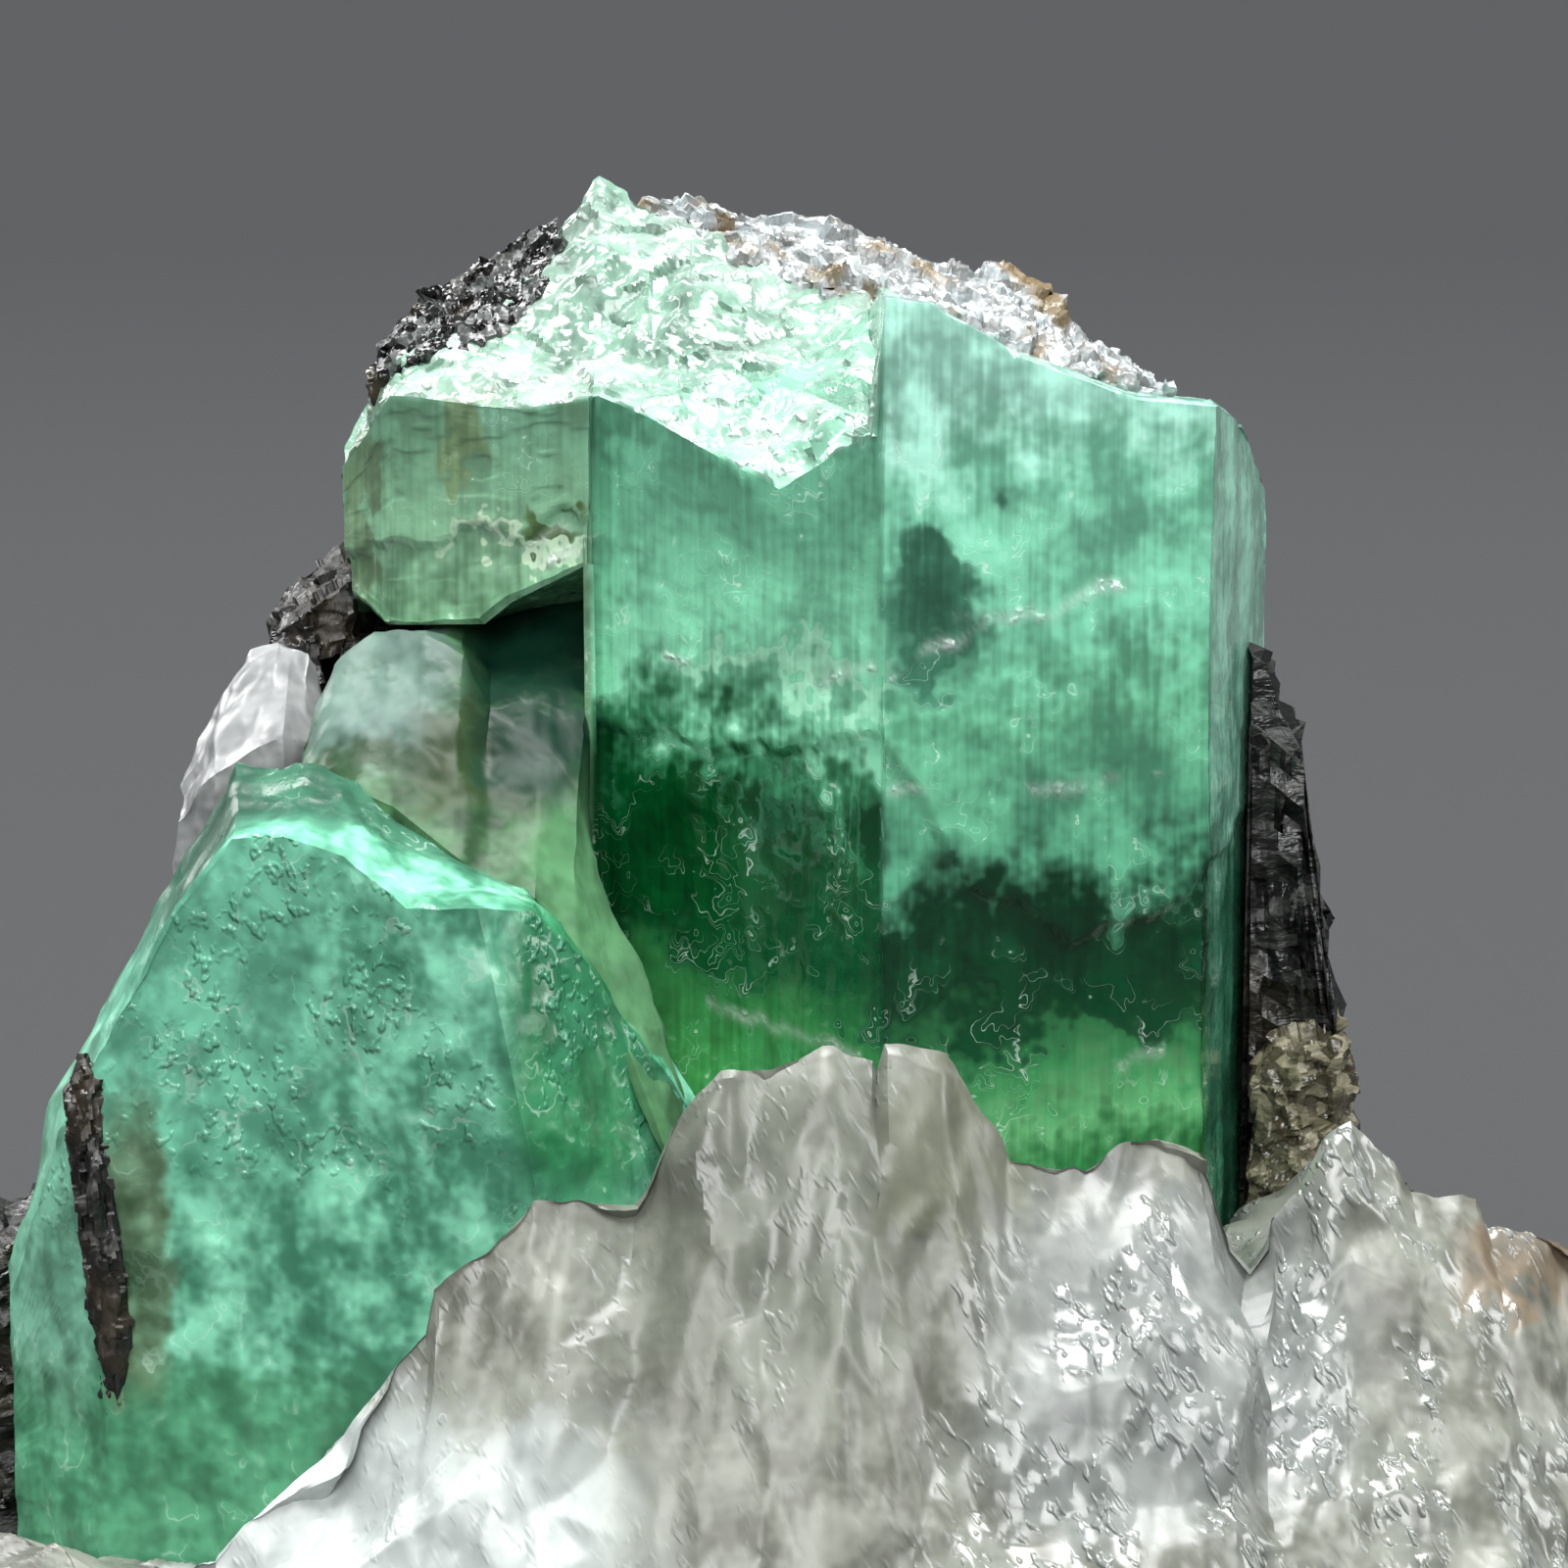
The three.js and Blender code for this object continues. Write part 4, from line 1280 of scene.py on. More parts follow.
@dataclass
class SideEmerald(Lofted):
    """The smaller crystal at the lower left, whose prism edges lean to the left."""

    front: Outline = (
        (-17.2, -1.9), (-16.0, -3.4), (-15.1, -4.4), (-12.0, -5.2), (-6.8, -7.4), (-5.0, -5.6),
        (-3.1, -3.9),
    )
    back: Outline = ((-17.2, -0.6), (-16.0, 1.4), (-13.0, 2.4), (-5.0, 1.0), (-3.1, -3.2))
    lip: Outline = (
        (-17.2, 7.6), (-16.0, 11.2), (-15.1, 13.1), (-13.3, 16.3), (-12.0, 17.9), (-10.8, 18.0),
        (-9.5, 17.7), (-8.3, 16.7), (-6.7, 16.8), (-5.8, 16.6), (-4.8, 15.0), (-3.1, 11.2),
    )
    crest_y: Outline = (
        (-17.2, -1.3), (-15.4, -0.5), (-12.0, -2.0), (-9.0, -3.0), (-6.0, -4.2), (-3.1, -3.6),
    )
    crest: Outline = (
        (-17.2, 8.6), (-16.3, 11.8), (-14.1, 15.7), (-12.1, 19.0), (-10.4, 19.1), (-8.9, 18.5),
        (-6.9, 17.1), (-5.9, 16.8), (-5.0, 15.6), (-4.0, 13.6), (-3.1, 11.5),
    )
    back_top: Outline = (
        (-17.2, 8.0), (-14.1, 13.0), (-12.0, 16.0), (-9.0, 16.0), (-5.0, 12.5), (-3.1, 11.2),
    )
    root: Outline = ((-17.2, 2.0), (-12.0, 1.2), (-8.0, 3.0), (-3.1, 6.0))
    lean: Outline = ((-17.2, 0.0), (-12.0, 0.04), (-7.0, 0.2), (-3.1, 0.2))
    lean_z: float = 16.0
    layers: tuple[Layer, ...] = (Layer(folded_facets, 0.14, 0.8, 24), Layer(folded_facets, 0.07, 2.4, 25))
    face_layers: tuple[Layer, ...] = (
        Layer(smooth_noise, 0.05, (2.6, 2.6, 0.2), 21),
        Layer(layered_noise, 0.12, (0.4, 0.4, 0.35), 22, treads=4),
    )
    pits: Layer = Layer(folded_facets, 0.05, 1.6, 23)
    pitted: Layer = Layer(clusters, 1.0, 0.7, 26)
    pitted_from: float = 7.0
    pitted_rise: float = 7.0
    top_break: Layer = Layer(clusters, 0.2, 0.9, 20)
    growth_lean: float = 0.22
    top_sides: tuple[int, ...] = (2, 3)

    def rows(self) -> tuple[Row, ...]:
        """Rows from the front foot round the back, over the crest and down the front face."""
        return (
            Row(self.front, self.root, 6),
            Row(self.back, self.root, 40),
            Row(self.back, self.back_top, 36),
            Row(self.crest_y, self.crest, 40),
            Row(self.front, self.lip, 150),
        )

    def broken(self, points: np.ndarray, side: np.ndarray) -> np.ndarray:
        """Patches of the sloping top, and clusters of pits on the upper part of the front face."""
        height = np.clip((points[..., 2] - self.pitted_from) / self.pitted_rise, 0.0, 1.0)
        top = np.isin(side, self.top_sides)[None, :]
        return np.where(top, self.top_break.at(points), self.pitted.at(points) * height)

    def relief(self, points: np.ndarray, side: np.ndarray) -> np.ndarray:
        """Lumpy, pitted faces with leaning growth lines, and folded facets on the sloping top."""
        leaning = points + points[..., 2:3] * (self.growth_lean, 0.0, 0.0)
        faces = stacked(self.face_layers, leaning) + self.pits.at(points)
        return np.where(np.isin(side, self.top_sides)[None, :], super().relief(points, side), faces)


@dataclass
class QuartzRidge(Lofted):
    """The jagged quartz ridge in front of the crystals, with the pocket floor behind it and the sawn base."""

    toe_y: Outline = (
        (-18.4, -3.5), (-16.5, -8.5), (-11.0, -12.6), (0.0, -13.0), (9.0, -12.2), (16.0, -10.4),
        (18.4, -7.0),
    )
    toe: Outline = ((-18.4, 1.6), (-12.0, 2.4), (0.0, 3.4), (9.0, 3.2), (18.4, 2.0))
    shoulder_y: Outline = (
        (-18.4, -3.2), (-13.0, -10.6), (-8.0, -10.9), (-5.4, -10.6), (-1.2, -9.9), (0.3, -9.9),
        (1.2, -9.6), (3.6, -9.4), (5.2, -9.2), (6.8, -8.6), (8.2, -8.8), (9.0, -8.0), (10.6, -7.2),
        (13.6, -6.8), (18.4, -5.0),
    )
    shoulder: Outline = (
        (-18.4, 2.4), (-13.0, 3.1), (-8.0, 5.6), (-5.4, 8.4), (-1.2, 9.8), (0.3, 10.6), (1.2, 10.2),
        (3.6, 8.8), (5.2, 8.2), (6.8, 8.8), (8.2, 8.0), (9.0, 7.0), (10.6, 8.6), (13.6, 7.6), (18.4, 4.4),
    )
    crest_y: Outline = (
        (-18.4, -2.6), (-12.1, -10.4), (-8.0, -9.5), (-3.2, -8.5), (1.0, -8.1), (5.9, -6.9), (10.4, -5.6),
        (18.4, -4.0),
    )
    crest: Outline = (
        (-18.4, 2.8), (-14.0, 3.4), (-12.1, 4.2), (-10.0, 6.5), (-8.0, 8.6), (-7.8, 9.5), (-6.7, 10.3),
        (-5.8, 11.2), (-3.9, 11.2), (-3.1, 12.6), (-2.0, 13.6), (0.2, 14.1), (0.9, 13.8), (1.05, 13.2),
        (1.3, 14.1), (2.4, 13.4), (3.6, 12.1), (3.8, 11.7), (5.3, 11.5), (6.0, 11.9), (6.8, 12.1),
        (7.9, 11.8), (8.2, 11.0), (8.8, 9.3), (9.1, 10.2), (10.0, 10.5), (10.4, 11.6), (10.8, 12.0),
        (11.7, 11.2), (12.1, 10.6), (13.4, 10.3), (13.7, 9.7), (15.4, 9.5), (17.4, 8.1), (18.4, 5.4),
    )
    pocket_y: Outline = (
        (-18.4, -2.0), (-12.1, -8.4), (-6.8, -7.8), (-3.2, -6.9), (5.9, -5.0), (10.4, -3.2), (18.4, -2.4),
    )
    pocket: Outline = (
        (-18.4, 2.6), (-12.1, 3.0), (-6.0, 9.0), (2.0, 11.2), (6.0, 9.4), (8.8, 8.6), (10.8, 10.0),
        (15.4, 8.2), (18.4, 4.6),
    )
    wall: Outline = (
        (-18.4, 2.5), (-12.1, 2.8), (-6.0, 8.8), (2.0, 11.0), (6.0, 9.2), (8.8, 8.4), (10.8, 9.6),
        (15.4, 7.8), (18.4, 4.4),
    )
    bed_y: Outline = (
        (-18.4, -1.5), (-17.2, -2.0), (-15.1, -4.5), (-12.0, -5.4), (-5.4, -7.4), (-3.4, -5.9),
        (-0.4, -4.1), (1.2, -5.3), (8.1, -2.6), (9.6, 2.3), (18.4, -1.5),
    )
    bed: Outline = (
        (-18.4, 2.4), (-17.2, 1.7), (-12.0, 0.9), (-8.0, 2.6), (-3.1, 5.6), (9.7, 5.6), (9.9, 8.2),
        (12.0, 7.6), (15.0, 6.4), (18.4, 4.0),
    )
    back_y: Outline = ((-18.4, -1.0), (-14.0, 2.6), (9.0, 2.6), (15.0, 2.0), (18.4, -1.0))
    back: Outline = (
        (-18.4, 2.2), (-17.2, 1.6), (-12.0, 0.8), (-8.0, 2.5), (-3.1, 5.5), (9.7, 5.5), (9.9, 8.0),
        (12.0, 7.4), (15.0, 6.2), (18.4, 3.6),
    )
    step: float = 0.13
    bed_lean: float = 0.1
    layers: tuple[Layer, ...] = (Layer(folded_facets, 0.75, 0.32, 31), Layer(folded_facets, 0.25, 0.8, 32))
    silk: Layer = Layer(folded_facets, 0.11, (2.6, 2.0, 1.1), 33)
    chips: Layer = Layer(folded_facets, 0.11, (1.5, 1.2, 0.6), 35)
    splinters: Layer = Layer(layered_noise, 0.05, (2.0, 1.2, 0.35), 34)
    patches: Layer = Layer(clusters, 1.0, (0.9, 0.9, 0.5), 36)
    drawn: Point = (1.0, 1.0, 0.35)
    silky_from: float = -1.0
    silky_rise: float = 6.0
    least_silky: float = 0.25
    bed_sides: tuple[int, ...] = (2, 3)

    def rows(self) -> tuple[Row, ...]:
        """Rows along the base, up the back, under the crystals, over the crest and down the front."""
        return (
            Row(self.toe_y, 0.0, 8),
            Row(self.back_y, 0.0, 10),
            Row(self.back_y, self.back, 12),
            Row(self.bed_y, self.bed, 12),
            Row(raised(self.bed_y, -self.bed_lean), self.wall, 14),
            Row(self.pocket_y, self.pocket, 20),
            Row(self.crest_y, self.crest, 44),
            Row(self.shoulder_y, self.shoulder, 66),
            Row(self.toe_y, self.toe, 16),
        )

    def broken(self, points: np.ndarray, side: np.ndarray) -> np.ndarray:
        """Silky patches, most of all right of the peak."""
        right = np.clip((points[..., 0] - self.silky_from) / self.silky_rise, self.least_silky, 1.0)
        return self.patches.at(points) * right

    def relief(self, points: np.ndarray, side: np.ndarray) -> np.ndarray:
        """Broken facets of three sizes and fine splinters that run down the slope. The base stays flat."""
        height = super().relief(points * self.drawn, side)
        height += self.broken(points, side) * self.silk.at(points)
        height += self.chips.at(points)
        height += np.abs(self.splinters.at(points))
        return kept_flat(height, points, np.isin(side, self.bed_sides)[None, :])


@dataclass
class QuartzWedge(Lofted):
    """Olive-grey quartz that fills the corner between the two crystals."""

    front: Outline = ((-11.0, -1.8), (-9.5, -3.0), (-7.4, -4.2), (-5.7, -4.8), (-4.4, -5.0), (-2.9, -5.4))
    lip: Outline = (
        (-11.0, 18.6), (-10.4, 18.8), (-8.9, 18.3), (-6.9, 16.9), (-5.9, 16.6), (-5.0, 15.4), (-4.0, 13.5),
        (-2.9, 10.6),
    )
    crest_y: Outline = ((-11.0, -0.8), (-9.5, 0.0), (-7.4, -1.0), (-5.7, -2.0), (-4.4, -3.2), (-2.9, -4.2))
    crest: Outline = (
        (-11.0, 19.2), (-10.3, 20.9), (-9.5, 21.6), (-8.4, 21.6), (-7.6, 21.1), (-7.0, 20.0), (-5.7, 19.3),
        (-5.1, 18.6), (-4.9, 17.7), (-4.4, 16.1), (-3.6, 14.5), (-2.9, 12.4),
    )
    back: Outline = ((-11.0, 1.0), (-9.5, 3.0), (-5.0, 3.0), (-4.8, -0.6), (-2.9, -2.1))
    back_top: Outline = (
        (-11.0, 18.8), (-9.5, 19.6), (-8.0, 22.0), (-5.0, 22.8), (-4.8, 15.0), (-2.9, 12.0),
    )
    root: Outline = ((-11.0, 15.8), (-9.0, 15.8), (-5.0, 12.3), (-2.9, 9.4))
    lip_depth: float = 0.4
    step: float = 0.08
    layers: tuple[Layer, ...] = (
        Layer(layered_noise, 0.16, 0.7, 41),
        Layer(folded_facets, 0.07, 0.9, 42),
        Layer(folded_facets, 0.03, 2.2, 43),
    )
    patches: Layer = Layer(clusters, 0.4, 1.2, 44)

    def rows(self) -> tuple[Row, ...]:
        """Rows from the front foot round the back, over the crest and down the front."""
        return (
            Row(self.front, raised(self.lip, -self.lip_depth), 24),
            Row(self.back, self.root, 16),
            Row(self.back, self.back_top, 24),
            Row(self.crest_y, self.crest, 50),
            Row(self.front, self.lip, 6),
        )

    def broken(self, points: np.ndarray, side: np.ndarray) -> np.ndarray:
        """Small patches of break on a smooth, cloudy surface."""
        return self.patches.at(points)


@dataclass
class SchistBacking(Lofted):
    """The dark slab behind the crystals, cut off flat at the base, with a bed for the big crystal."""

    front: Outline = ((-18.4, 0.2), (-16.0, 1.8), (11.0, 1.8), (15.5, 1.0), (17.6, 0.0))
    bed_y: Outline = (
        (-18.4, 0.25), (-16.0, 1.85), (-10.3, 1.85), (-10.2, 3.2), (-8.8, 5.8), (-3.2, 7.2), (3.3, 9.7),
        (9.2, 5.8), (9.3, 1.85), (11.0, 1.85), (15.5, 1.05), (17.6, 0.05),
    )
    bed_top: Outline = (
        (-18.4, 7.2), (-16.0, 8.6), (-13.0, 14.0), (-10.5, 20.0), (-10.2, 21.5), (-5.0, 23.6), (1.0, 24.6),
        (6.0, 23.2), (9.6, 20.6), (9.9, 19.6), (10.4, 18.6), (11.2, 12.6), (11.9, 8.6), (17.6, 4.6),
    )
    bed_floor: Outline = (
        (-18.4, 7.1), (-16.0, 8.5), (-13.0, 13.9), (-10.5, 19.9), (-10.2, 21.2), (-4.9, 19.6), (-4.8, 5.7),
        (9.2, 5.7), (9.3, 19.4), (10.4, 18.5), (11.2, 12.5), (11.9, 8.5), (17.6, 4.5),
    )
    crest_y: Outline = (
        (-18.4, 3.0), (-12.0, 4.6), (-8.8, 6.4), (-3.2, 7.8), (3.3, 10.2), (9.8, 6.4), (17.6, 3.0),
    )
    crest: Outline = (
        (-18.4, 8.2), (-16.6, 9.4), (-13.4, 16.0), (-11.6, 20.6), (-10.0, 22.0), (-5.0, 24.2), (1.0, 25.2),
        (6.0, 23.8), (9.6, 21.2), (10.3, 19.8), (10.7, 17.0), (11.2, 13.4), (12.0, 9.0), (17.6, 5.0),
    )
    back: Outline = ((-18.4, 4.6), (-14.0, 8.6), (-4.0, 11.6), (4.0, 12.0), (10.0, 9.6), (17.6, 4.4))
    back_top: Outline = (
        (-18.4, 5.0), (-13.0, 11.0), (-5.0, 18.0), (4.0, 18.6), (10.0, 13.0), (12.0, 7.0), (17.6, 3.6),
    )
    heel: Outline = ((-18.4, 1.6), (0.0, 5.0), (17.6, 1.4))
    step_down: float = 0.05
    step: float = 0.18
    layers: tuple[Layer, ...] = (
        Layer(layered_noise, 0.7, 0.3, 61),
        Layer(broken_facets, 0.35, (0.7, 0.7, 1.4), 62),
        Layer(broken_facets, 0.14, (2.0, 2.0, 4.0), 63),
    )
    bed_sides: tuple[int, ...] = (5, 6)

    def rows(self) -> tuple[Row, ...]:
        """Rows along the base, up the back, over the crest, along the bed and down the front."""
        return (
            Row(self.front, 0.0, 8),
            Row(self.back, 0.0, 16),
            Row(self.back, self.heel, 50),
            Row(self.back, self.back_top, 44),
            Row(self.crest_y, self.crest, 12),
            Row(self.bed_y, self.bed_top, 40),
            Row(self.bed_y, self.bed_floor, 16),
            Row(self.front, raised(self.bed_floor, -self.step_down), 40),
        )

    def relief(self, points: np.ndarray, side: np.ndarray) -> np.ndarray:
        """Lumps, and flat-lying flakes of two sizes. The base stays flat."""
        height = super().relief(points, side)
        return kept_flat(height, points, np.isin(side, self.bed_sides)[None, :])


@dataclass
class BiotiteVein(Piece):
    """The dark streak sunk in the small crystal's left face: lens-shaped sections carried up z."""

    half_width: Outline = ((5.4, 0.05), (6.2, 0.35), (8.4, 0.5), (11.2, 0.45), (12.4, 0.5), (13.2, 0.05))
    half_depth: Outline = ((5.4, 0.1), (7.0, 0.7), (12.4, 0.7), (13.2, 0.1))
    middle_x: Outline = ((5.4, -14.7), (8.4, -14.8), (11.2, -15.1), (13.2, -15.3))
    middle_y: Outline = ((5.4, -4.2), (13.2, -4.0))
    around: int = 48
    along: int = 160
    layers: tuple[Layer, ...] = (
        Layer(broken_facets, 0.14, (2.0, 2.0, 0.8), 64),
        Layer(broken_facets, 0.08, (5.0, 5.0, 2.0), 65),
    )

    def shape(self) -> tuple[np.ndarray, np.ndarray]:
        """Points (x + w cos t, y + d sin t, z), with the middle and the half sizes read at each z."""
        z = np.linspace(self.half_width[0][0], self.half_width[-1][0], self.along)
        turn = np.linspace(0.0, 2.0 * math.pi, self.around, endpoint=False)
        x = level_at(self.middle_x, z)[:, None] + level_at(self.half_width, z)[:, None] * np.cos(turn)
        y = level_at(self.middle_y, z)[:, None] + level_at(self.half_depth, z)[:, None] * np.sin(turn)
        points = np.stack([x, y, np.broadcast_to(z[:, None], x.shape)], axis=-1)
        return points, np.zeros(self.around, dtype=int)


@dataclass
class WhiteChip(Lofted):
    """The white quartz lump behind the small crystal."""

    front: Outline = ((-13.8, 0.6), (-12.9, -0.4), (-11.4, -0.6), (-10.4, 0.4))
    lip: Outline = ((-13.8, 17.4), (-12.9, 18.6), (-11.4, 19.4), (-10.4, 18.8))
    crest_y: Outline = ((-13.8, 1.6), (-12.3, 2.2), (-10.4, 1.8))
    crest: Outline = (
        (-13.8, 18.2), (-12.9, 19.9), (-12.3, 20.9), (-11.7, 21.2), (-11.0, 20.9), (-10.4, 19.2),
    )
    back: Outline = ((-13.8, 2.4), (-12.3, 4.2), (-10.4, 3.0))
    back_top: Outline = ((-13.8, 17.6), (-12.3, 19.6), (-10.4, 18.6))
    root: Outline = ((-13.8, 15.8), (-12.3, 14.6), (-10.4, 15.8))
    step: float = 0.05
    layers: tuple[Layer, ...] = (Layer(layered_noise, 0.2, 0.8, 66), Layer(folded_facets, 0.08, 1.6, 67))

    def rows(self) -> tuple[Row, ...]:
        """Rows from the front foot round the back, over the crest and down the front."""
        return (
            Row(self.front, self.root, 8),
            Row(self.back, self.root, 20),
            Row(self.back, self.back_top, 24),
            Row(self.crest_y, self.crest, 30),
            Row(self.front, self.lip, 40),
        )


@dataclass
class MicaFlake(Lofted):
    """The black mica flake above the white lump."""

    front: Outline = ((-11.9, 2.6), (-11.0, 2.0), (-10.1, 2.4))
    lip: Outline = ((-11.9, 21.2), (-11.0, 21.8), (-10.1, 22.4))
    back: Outline = ((-11.9, 4.0), (-10.1, 5.0))
    crest: Outline = ((-11.9, 21.6), (-11.4, 22.3), (-10.4, 23.0), (-10.1, 22.8))
    root: Outline = ((-11.9, 20.6), (-10.1, 20.8))
    step: float = 0.04
    layers: tuple[Layer, ...] = (
        Layer(layered_noise, 0.12, (0.8, 0.8, 1.6), 68, treads=4),
        Layer(broken_facets, 0.16, 2.0, 69),
    )

    def rows(self) -> tuple[Row, ...]:
        """Rows from the front foot round the back and down the front."""
        return (
            Row(self.front, self.root, 16),
            Row(self.back, self.root, 20),
            Row(self.back, self.crest, 24),
            Row(self.front, self.lip, 24),
        )


@dataclass
class MicaBook(Lofted):
    """The tan mica block at the lower right of the big crystal, split in flat leaves."""

    front: Outline = ((9.4, 0.8), (10.2, 0.2), (11.0, 0.4), (11.5, 1.2))
    lip: Outline = ((9.4, 11.6), (9.9, 12.3), (11.1, 12.5), (11.5, 11.8))
    back: Outline = ((9.4, 3.4), (11.5, 3.6))
    crest: Outline = ((9.4, 12.0), (9.9, 12.6), (11.2, 12.9), (11.5, 12.2))
    root: Outline = ((9.4, 8.6), (10.4, 8.9), (11.5, 9.6))
    step: float = 0.04
    layers: tuple[Layer, ...] = (Layer(broken_facets, 0.22, 1.1, 71), Layer(broken_facets, 0.08, 3.0, 72))
    leaves: float = 3.0
    leaf_dip: float = 0.8
    leaf_edge: float = 0.08
    leaf_seed: int = 70

    def rows(self) -> tuple[Row, ...]:
        """Rows from the front foot round the back and down the front."""
        return (
            Row(self.front, self.root, 16),
            Row(self.back, self.root, 30),
            Row(self.back, self.crest, 24),
            Row(self.front, self.lip, 50),
        )

    def relief(self, points: np.ndarray, side: np.ndarray) -> np.ndarray:
        """Edges of the leaves, which dip to the right, and broken corners."""
        leaf = np.floor(points[..., 2] * self.leaves + points[..., 0] * self.leaf_dip).astype(np.int64)
        edges = self.leaf_edge * lattice(leaf[..., None] * (1, 0, 0), self.leaf_seed)
        return edges + super().relief(points, side)


@dataclass
class MicaCrust(Lofted):
    """The grey-brown mica crust over the back of the big crystal's top."""

    front: Outline = ((-3.8, 4.0), (-2.4, 3.4), (-0.7, 2.4), (0.8, 1.4), (2.0, 0.8), (5.0, 0.6), (7.4, 1.2))
    crest_y: Outline = ((-3.8, 4.6), (-2.4, 4.6), (1.0, 4.2), (5.0, 4.0), (7.4, 2.4))
    crest: Outline = (
        (-3.8, 30.4), (-3.2, 30.5), (-2.4, 30.3), (-0.5, 30.1), (0.8, 29.7), (2.0, 29.3), (3.7, 29.1),
        (5.0, 28.7), (5.3, 27.9), (6.3, 27.2), (7.4, 26.7),
    )
    back: Outline = ((-3.8, 5.2), (-2.4, 6.6), (1.0, 7.6), (5.0, 6.6), (7.4, 4.0))
    sill: Outline = ((-3.8, 29.8), (-2.4, 29.2), (-0.7, 28.4), (2.0, 28.0), (5.0, 26.6), (7.4, 26.1))
    sill_back: Outline = ((-3.8, 28.6), (-2.4, 27.6), (1.0, 27.0), (5.0, 25.7), (7.4, 25.6))
    edge: float = 0.5
    step: float = 0.07
    layers: tuple[Layer, ...] = (
        Layer(broken_facets, 0.28, 0.9, 73),
        Layer(broken_facets, 0.16, 2.2, 74),
        Layer(broken_facets, 0.06, 5.0, 75),
    )

    def rows(self) -> tuple[Row, ...]:
        """Rows from the front sill round the back, over the crest and down the front edge."""
        return (
            Row(self.front, self.sill, 20),
            Row(self.back, self.sill_back, 8),
            Row(self.back, raised(self.sill_back, self.edge), 40),
            Row(self.crest_y, self.crest, 50),
            Row(self.front, raised(self.sill, self.edge), 10),
        )


@dataclass
class SlopeMica(Lofted):
    """The dark mica that lies on the left part of the big crystal's broken slope."""

    front: Outline = ((-9.6, 2.0), (-8.1, 1.5), (-6.7, 2.0), (-5.7, 3.2))
    lip: Outline = ((-9.6, 26.8), (-8.1, 27.4), (-6.7, 27.8), (-5.7, 29.0))
    crest_y: Outline = ((-9.6, 2.8), (-8.6, 3.5), (-5.7, 4.0))
    crest: Outline = ((-9.6, 27.0), (-8.6, 28.4), (-6.7, 29.7), (-5.7, 30.2))
    back: Outline = ((-9.6, 3.4), (-8.6, 4.8), (-5.7, 4.8))
    back_top: Outline = ((-9.6, 26.6), (-8.6, 27.4), (-5.7, 29.2))
    depth: float = 0.7
    step: float = 0.05
    layers: tuple[Layer, ...] = (Layer(broken_facets, 0.2, 1.4, 76), Layer(broken_facets, 0.1, 3.6, 77))

    def rows(self) -> tuple[Row, ...]:
        """Rows from the front foot round the back, over the crest and down to the lip."""
        return (
            Row(self.front, raised(self.lip, -self.depth), 16),
            Row(self.back, raised(self.back_top, -self.depth), 10),
            Row(self.back, self.back_top, 20),
            Row(self.crest_y, self.crest, 40),
            Row(self.front, self.lip, 10),
        )


# Studio


def facing(direction: np.ndarray) -> tuple[float, float, float]:
    """Turns an object's -Z axis along a direction, with its Y axis kept up, as Euler angles."""
    x, y, z = direction / np.linalg.norm(direction)
    return (math.acos(-z), 0.0, math.atan2(-x, y))


@dataclass(frozen=True)
class Lamp:
    """A soft rectangular light that faces a point on the specimen."""

    name: str
    place: Point
    width: float
    height: float
    power: float
    spread_deg: float = 70.0

    def hang(self, aim: Point, lit: bpy.types.Collection) -> None:
        """Adds the light, which shines on the pieces in one collection, with sizes given in millimetres."""
        light = bpy.data.lights.new(self.name, "AREA")
        light.shape = "RECTANGLE"
        light.size, light.size_y = self.width * MM, self.height * MM
        light.energy = self.power
        light.spread = math.radians(self.spread_deg)
        lamp = bpy.data.objects.new(self.name, light)
        place = np.array(self.place)
        lamp.location = place * MM
        lamp.rotation_euler = facing(np.array(aim) - place)
        lamp.visible_camera = False
        lamp.light_linking.receiver_collection = lit
        bpy.context.scene.collection.objects.link(lamp)


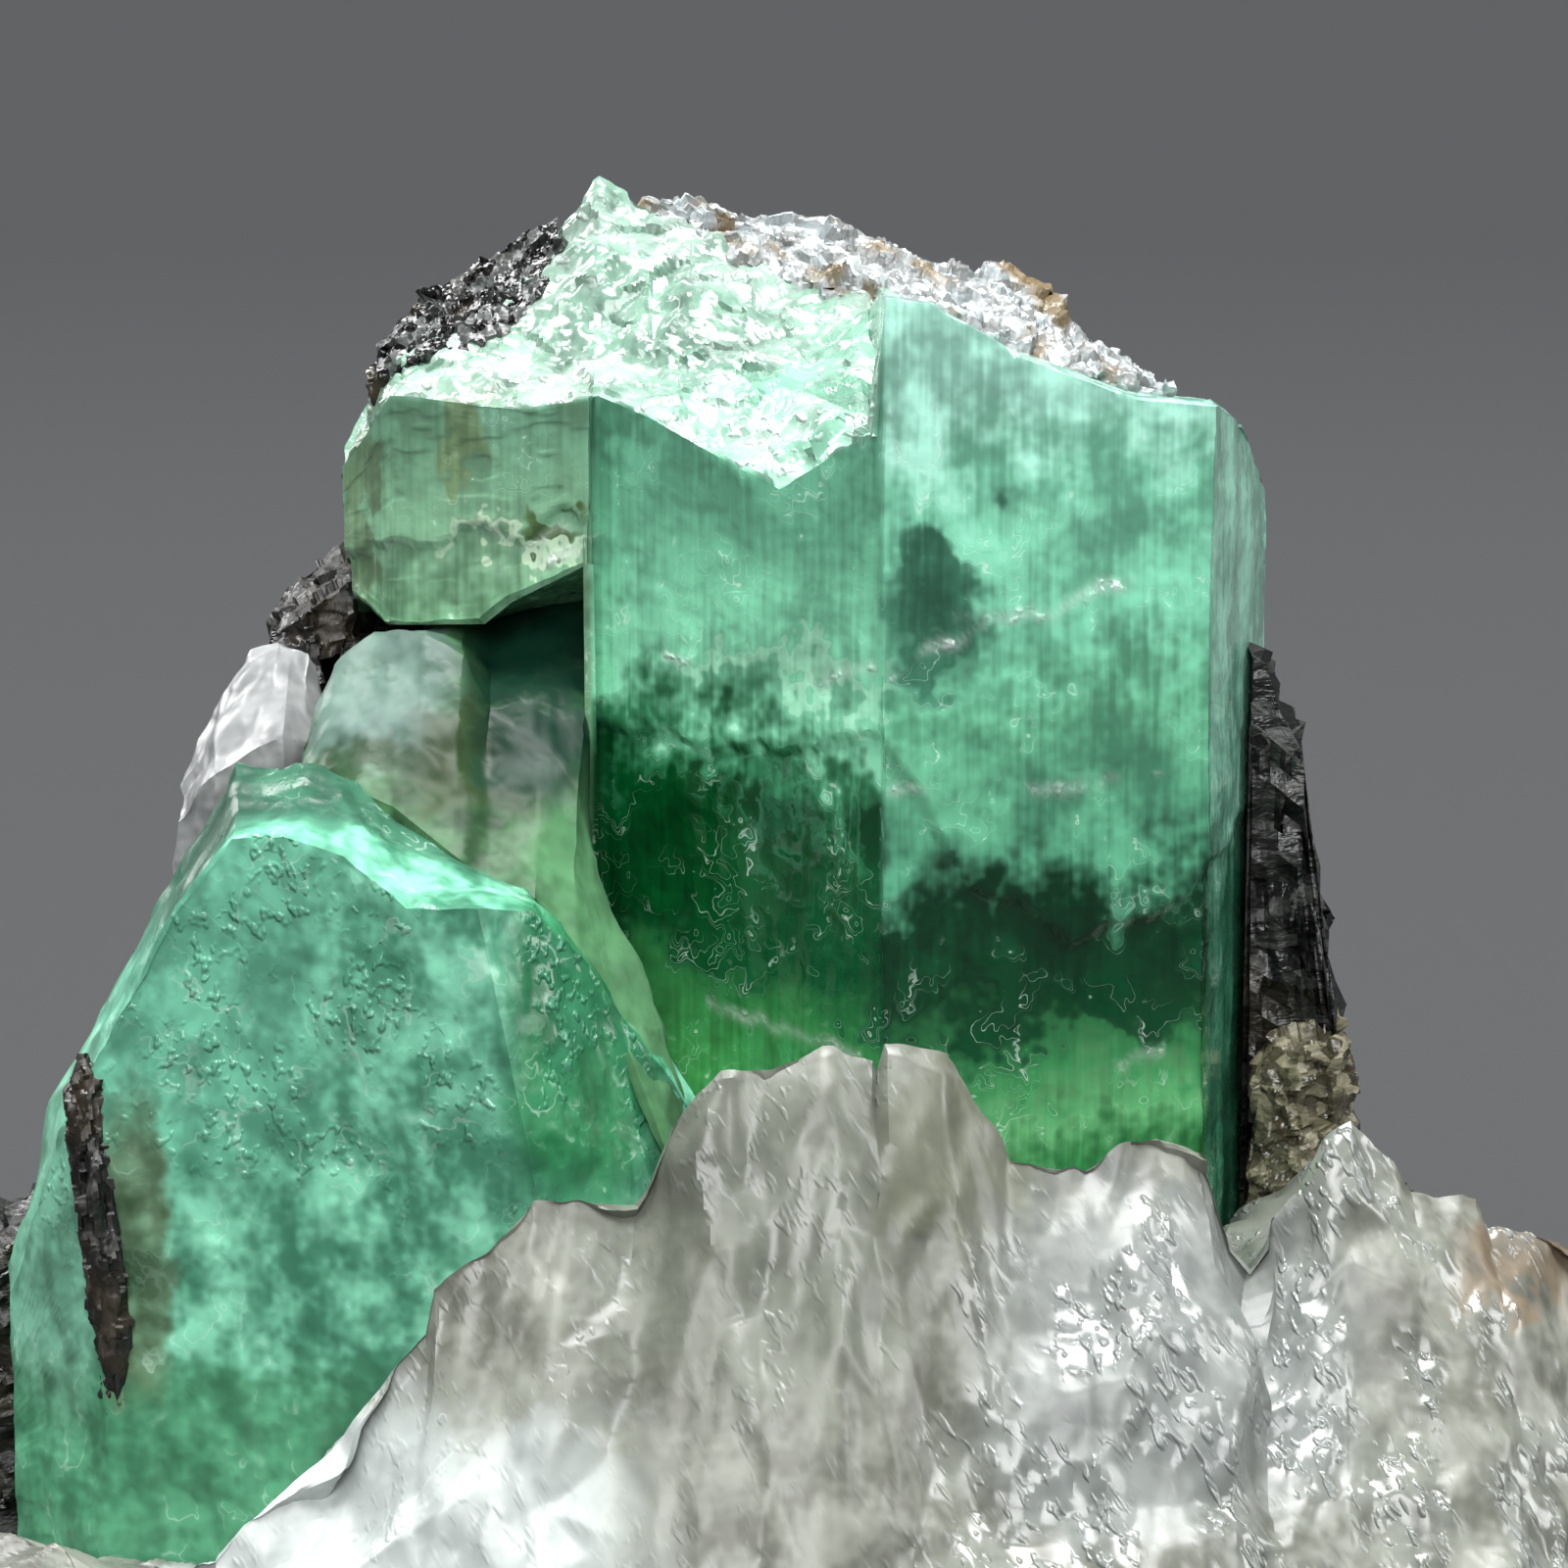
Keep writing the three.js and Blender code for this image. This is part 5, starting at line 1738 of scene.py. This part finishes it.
@dataclass
class Studio:
    """Pale round floor that curves up to a plain wall, soft lights and the camera."""

    floor_radius: float = 620.0
    bend: float = 260.0
    wall: float = 900.0
    flat_rings: tuple[float, ...] = (60.0, 300.0)
    bend_parts: int = 24
    turn_parts: int = 96
    near_tone: tuple[float, ...] = (0.6, 0.6, 0.6, 1.0)
    far_tone: tuple[float, ...] = (0.5, 0.5, 0.505, 1.0)
    tone_reach: tuple[float, float] = (0.05, 0.5)
    floor_rough: float = 0.9
    sky: tuple[float, ...] = (0.8, 0.82, 0.85, 1.0)
    sky_strength: float = 0.55
    sensor: float = 36.0
    aim: Point = (-0.8, -5.0, 19.0)
    distance: float = 120.0
    elevation_deg: float = 8.0
    frame_width: float = 32.0
    lamps: tuple[Lamp, ...] = (
        Lamp("overhead", (-10.0, -25.0, 182.0), 150.0, 100.0, 0.15),
        Lamp("front_fill", (-20.0, -210.0, 120.0), 170.0, 120.0, 0.1),
        Lamp("right_strip", (170.0, -40.0, 90.0), 60.0, 140.0, 0.04),
        Lamp("back_left", (-150.0, 110.0, 120.0), 90.0, 120.0, 0.05),
    )

    def build(self, lit: bpy.types.Collection) -> None:
        """Adds the stage, the lights, the sky and the camera."""
        self._stage()
        for lamp in self.lamps:
            lamp.hang(self.aim, lit)
        world = bpy.data.worlds.new("studio_sky")
        world.use_nodes = True
        sky = world.node_tree.nodes["Background"]
        sky.inputs["Color"].default_value = self.sky
        sky.inputs["Strength"].default_value = self.sky_strength
        bpy.context.scene.world = world
        bpy.context.scene.view_settings.view_transform = "Standard"
        self._camera()

    def _stage(self) -> None:
        """Turns a profile round Z: flat floor, a quarter round, then a straight wall."""
        sweep = np.linspace(0.0, math.pi / 2.0, self.bend_parts)
        outer = self.floor_radius + self.bend
        radius = np.concatenate([self.flat_rings, self.floor_radius + self.bend * np.sin(sweep), [outer]])
        rise = self.bend * (1.0 - np.cos(sweep))
        height = np.concatenate([np.zeros(len(self.flat_rings)), rise, [self.wall]])
        turn = np.linspace(0.0, 2.0 * math.pi, self.turn_parts, endpoint=False)
        points = np.stack(
            [
                radius[:, None] * np.cos(turn),
                radius[:, None] * np.sin(turn),
                np.broadcast_to(height[:, None], (len(height), len(turn))),
            ],
            axis=-1,
        )
        index = np.arange(points.shape[0] * points.shape[1]).reshape(points.shape[:2])
        beside = np.roll(index, -1, axis=1)
        quads = np.stack([index[:-1], index[1:], beside[1:], beside[:-1]], axis=-1).reshape(-1, 4)
        middle = np.stack([index[0], beside[0], np.full(len(turn), points.shape[0] * len(turn))], axis=-1)
        vertices = np.concatenate([points.reshape(-1, 3), [[0.0, 0.0, 0.0]]]) * MM
        mesh = bpy.data.meshes.new("studio_floor")
        mesh.from_pydata(vertices, [], [*quads.tolist(), *middle.tolist()])
        mesh.polygons.foreach_set("use_smooth", np.ones(len(mesh.polygons), dtype=bool))
        floor = bpy.data.objects.new("studio_floor", mesh)
        bpy.context.scene.collection.objects.link(floor)
        mesh.materials.append(self._floor_material())

    def _floor_material(self) -> bpy.types.Material:
        """Matt pale floor that turns to mid grey away from the specimen."""
        made, graph = blank_material("studio_floor")
        place = graph.node("ShaderNodeTexCoord").outputs["Object"]
        radius = graph.node("ShaderNodeVectorMath", {0: place}, operation="LENGTH").outputs["Value"]
        tone = graph.mix(graph.remap(radius, *self.tone_reach), self.near_tone, self.far_tone)
        shader = graph.node("ShaderNodeBsdfPrincipled", {"Base Color": tone, "Roughness": self.floor_rough})
        graph.node("ShaderNodeOutputMaterial", {"Surface": shader.outputs[0]})
        return made

    def _camera(self) -> None:
        """Adds the camera in front of the specimen, a little above the aim."""
        tilt = math.radians(self.elevation_deg)
        away = np.array([0.0, -math.cos(tilt), math.sin(tilt)])
        data = bpy.data.cameras.new("camera")
        data.sensor_width = self.sensor
        data.lens = data.sensor_width * self.distance / self.frame_width
        data.clip_start = MM
        camera = bpy.data.objects.new("camera", data)
        camera.location = (np.array(self.aim) + away * self.distance) * MM
        camera.rotation_euler = facing(-away)
        bpy.context.scene.collection.objects.link(camera)
        bpy.context.scene.camera = camera


def main() -> None:
    """Builds the specimen, dresses it and sets the studio."""
    logging.basicConfig(level=logging.INFO, format="%(name)s: %(message)s")
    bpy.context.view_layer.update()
    effects = Effects()
    lit = bpy.data.collections.new("lit_pieces")
    Studio().build(lit)
    pieces: tuple[Piece, ...] = (
        MainEmerald("emerald_prism", "main_emerald", "emerald", EMERALD),
        SideEmerald("emerald_side_prism", "side_emerald", "pale_emerald", PALE_EMERALD),
        QuartzRidge("quartz_ridge", "quartz_matrix", "grey_quartz", GREY_QUARTZ),
        QuartzWedge("quartz_between", "quartz_wedge", "olive_quartz", OLIVE_QUARTZ),
        SchistBacking("schist_slab", "schist_backing", "schist", SCHIST),
        BiotiteVein("biotite_streak", "biotite_vein", "biotite", BIOTITE),
        WhiteChip("white_lump", "quartz_chip", "white_quartz", WHITE_QUARTZ),
        MicaFlake("black_flake", "left_mica", "biotite", BIOTITE),
        MicaBook("tan_mica_block", "mica_book", "tan_mica", TAN_MICA),
        MicaCrust("mica_top", "top_mica_crust", "mica_crust", MICA_CRUST),
        SlopeMica("mica_on_slope", "slope_mica", "mica_crust", DARK_CRUST),
    )
    for piece in pieces:
        made = piece.build()
        piece.dress(made, effects)
        lit.objects.link(made)


if __name__ == "__main__":
    main()
